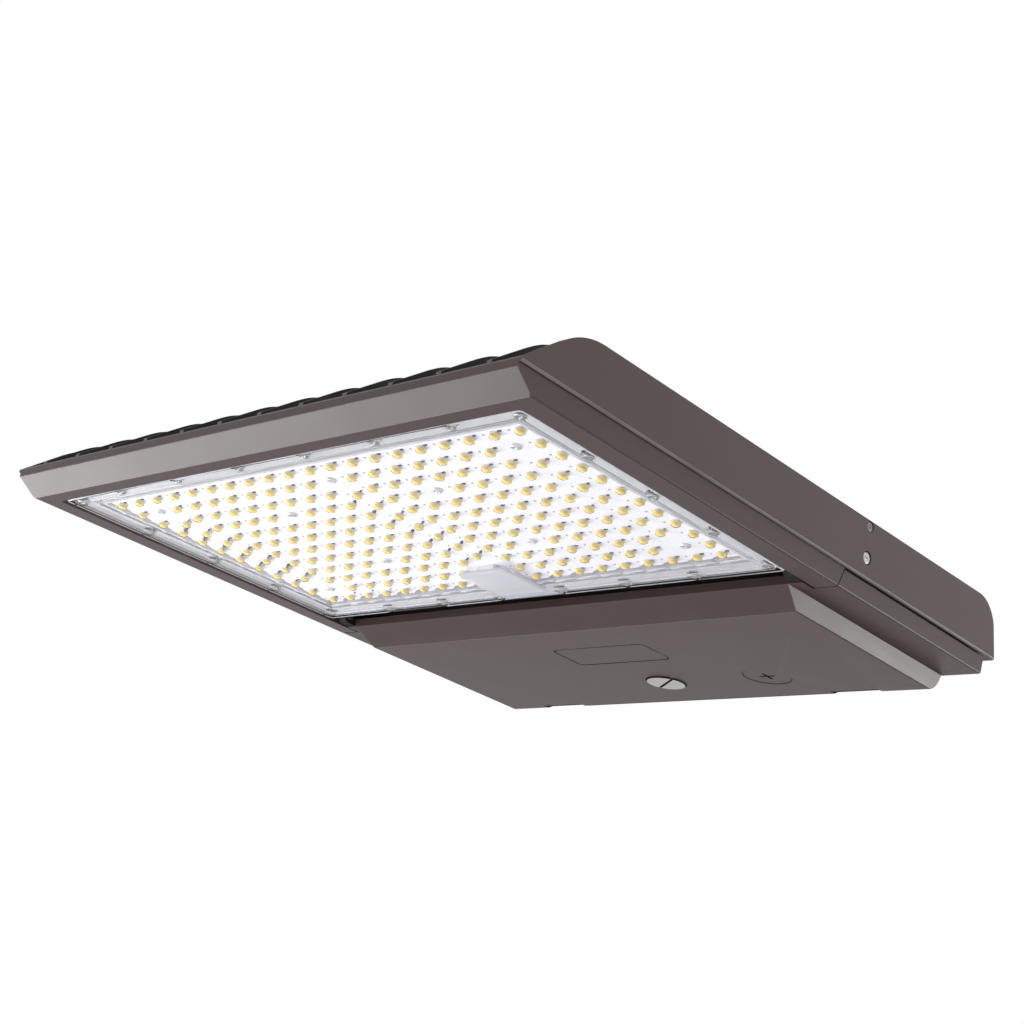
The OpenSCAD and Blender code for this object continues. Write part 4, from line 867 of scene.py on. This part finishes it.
POLE_STEP, POLE_HALF_Y, BLOCK_HEIGHT = 9.6, 5.5, 14
screws("terminal_screws", "terminal_screws",
       [(bench(BLOCK_X + k * POLE_STEP, BAY_Y + t * POLE_HALF_Y, TRAY_Z - BLOCK_HEIGHT), DOWN)
        for k in (-1, 0, 1) for t in (-1, 1)], brass, "terminal_brass",
       head_r=2.4, head_h=2.0, thread_r=1.2, length=2.0, seed=15)
stands_for(eased("catch_bracket", "catch_bracket", galvanised, 0.2), "fixture", "tray_steel",
           "catch_bracket")
spring = finished("spring_steel", steel,
                  {"Colour": (0.45, 0.45, 0.44, 1), "Streak Size": 0.2, "Streak Depth": 0.003,
                   "Smudge": 0.4, "Roughness": 0.3}, METAL)
stands_for(eased("catch_spring", "catch_spring", spring, 0.2), "fixture", "spring_steel",
           "catch_spring")

# ---- Leads ----
# Stranded copper in coloured PVC joins the driver to the LED connector, the terminal block and
# the surge protector. Each is pushed into its socket at both ends.
def lead(name, node, number, colour, slot):
    """One lead of a packed group, by its order across the group, rounded and smoothed."""
    mesh = nodes[node].data.copy()
    mesh.name = name
    shell = bmesh.new()
    shell.from_mesh(mesh)
    bmesh.ops.remove_doubles(shell, verts=shell.verts, dist=WELD)
    islands, left = [], set(shell.verts)
    while left:
        island, todo = set(), [left.pop()]
        while todo:
            vert = todo.pop()
            island.add(vert)
            for edge in vert.link_edges:
                other = edge.other_vert(vert)
                if other in left:
                    left.discard(other)
                    todo.append(other)
        islands.append(island)
    islands.sort(key=lambda island: sum(v.co.x + v.co.y for v in island) / len(island))
    gone = [v for k, island in enumerate(islands) if k != number for v in island]
    bmesh.ops.delete(shell, geom=gone, context="VERTS")
    shell.to_mesh(mesh)
    shell.free()
    mesh.shade_smooth()
    mesh.set_sharp_from_angle(angle=math.radians(60))
    mesh.materials.clear()
    mesh.materials.append(finished(name + "_pvc", coat, {
        "Colour": colour, "Grain Size": 0.8, "Grain Depth": 0.006, "Mottle": 0.12, "Dust": 0.05,
        "Roughness": 0.38}))
    piece = bpy.data.objects.new(name, mesh)
    things.link(piece)
    rounder = piece.modifiers.new("round", "SUBSURF")
    rounder.levels = rounder.render_levels = 1
    stands_for(piece, "fixture", slot, node)


RED, BLUE, BLACK = (0.42, 0.03, 0.03, 1), (0.04, 0.08, 0.36, 1), (0.02, 0.02, 0.021, 1)
PALE, LEAF = (0.68, 0.68, 0.67, 1), (0.05, 0.26, 0.08, 1)
lead("led_lead_minus", "led_leads", 0, BLUE, "lead_black")
lead("led_lead_plus", "led_leads", 1, RED, "lead_red")
for group in ("supply", "surge"):
    for number, (word, colour, slot) in enumerate((("line", BLACK, "lead_black"),
                                                   ("neutral", PALE, "lead_white"),
                                                   ("ground", LEAF, "ground_green"))):
        lead(group + "_lead_" + word, group + "_leads", number, colour, slot)

# ---- Side screws, hinge pins and door ----
# A machine screw through each side wall holds the tray, with a smaller one above it. Two short
# dark steel pins carry the door, a second casting in the same bronze powder paint as the housing.
dark_zinc = finished("dark_screw", steel,
                     {"Colour": (0.26, 0.24, 0.23, 1), "Streak Size": 0.2, "Streak Depth": 0.004,
                      "Smudge": 0.4, "Roughness": 0.35}, METAL)
SCREW_Y, LOWER_X, LOWER_Z, UPPER_X, UPPER_Z = 256.5, 178.3, 21.0, 178.8, 37.4
screws("side_screws", "side_screws",
       [(bench(s * LOWER_X, SCREW_Y, LOWER_Z), (s, 0, 0)) for s in (-1, 1)], zinc, "dark_screw",
       head_r=3.4, head_h=1.5, thread_r=2.0, length=7.4, seed=21)
screws("upper_screws", "upper_screws",
       [(bench(s * UPPER_X, SCREW_Y, UPPER_Z), (s, 0, 0)) for s in (-1, 1)], dark_zinc,
       "dark_screw", head_r=2.7, head_h=1.0, thread_r=1.3, length=2.4, seed=22)
stands_for(eased("hinge_pins", "hinge_pins", dark_zinc, 0.2), "fixture", "spring_steel",
           "hinge_pins")
door = eased("door", "door_casting", bronze, shortest=8.0)
CUTS_X, CUTS_Y0, CUTS_Y1, CUTS_Z0, CUTS_Z1 = 125, 265, 379.4, -9.25, -7.0
EAR_X, LIP_Y = 155, 229
# Painted shade darkens the shallow cuts in the door's belly, and its hinge ears ahead of the lip.
mark(door, "grime",
     lambda x, y, z, n: abs(x) < CUTS_X and CUTS_Y0 < y < CUTS_Y1 and CUTS_Z0 < z < CUTS_Z1)
mark(door, "grime", lambda x, y, z, n: abs(x) > EAR_X and y < LIP_Y)
stands_for(door, "door", "bronze_paint", "door")
stands_for(eased("door_gasket", "door_gasket", rubber, 0.5), "door", "rubber_black",
           "door_gasket")

# ---- Closing plug and turn fastener ----
# A painted disc with a cross recess closes the spare hole in the door. The door is held shut by
# a quarter-turn stud with a large slotted head, kept in its bore by a spring clip.
plug = eased("closing_plug", "closing_plug", bronze, 0.15)
PLUG_FACE = -9.05
# Every face above the plug's outer face, in its cross recess and round its edge, is marked for
# painted shade.
mark(plug, "grime", lambda x, y, z, n: z > PLUG_FACE)
stands_for(plug, "door", "bronze_paint", "closing_plug")
stands_for(eased("plug_clip", "plug_clip", spring, 0.15), "door", "spring_steel", "plug_clip")
bright = finished("stud_nickel", steel,
                  {"Colour": (0.90, 0.87, 0.84, 1), "Streak Size": 0.4, "Streak Depth": 0.006,
                   "Smudge": 0.35, "Roughness": 0.34}, METAL)
stud = eased("turn_stud", "turn_stud", bright, 0.2)
# Every face above the head's outer face, in the slot, round the head and on the shank, takes a
# near-black steel: painted shade.
stud.data.materials.append(finished("stud_oxide", steel, {
    "Colour": (0.07, 0.066, 0.062, 1), "Streak Size": 0.3, "Streak Depth": 0.004, "Smudge": 0.5,
    "Roughness": 0.5}, METAL))
HEAD_FACE, HEAD_SKIN = -10.1, 0.15
for face in stud.data.polygons:
    face.material_index = int(face.center.z * 1000 + MOUNT_HEIGHT > HEAD_FACE + HEAD_SKIN)
stands_for(stud, "turn_fastener", "stud_metal", "turn_stud")
stands_for(eased("stud_clip", "stud_clip", spring, 0.15), "turn_fastener", "spring_steel",
           "stud_clip")
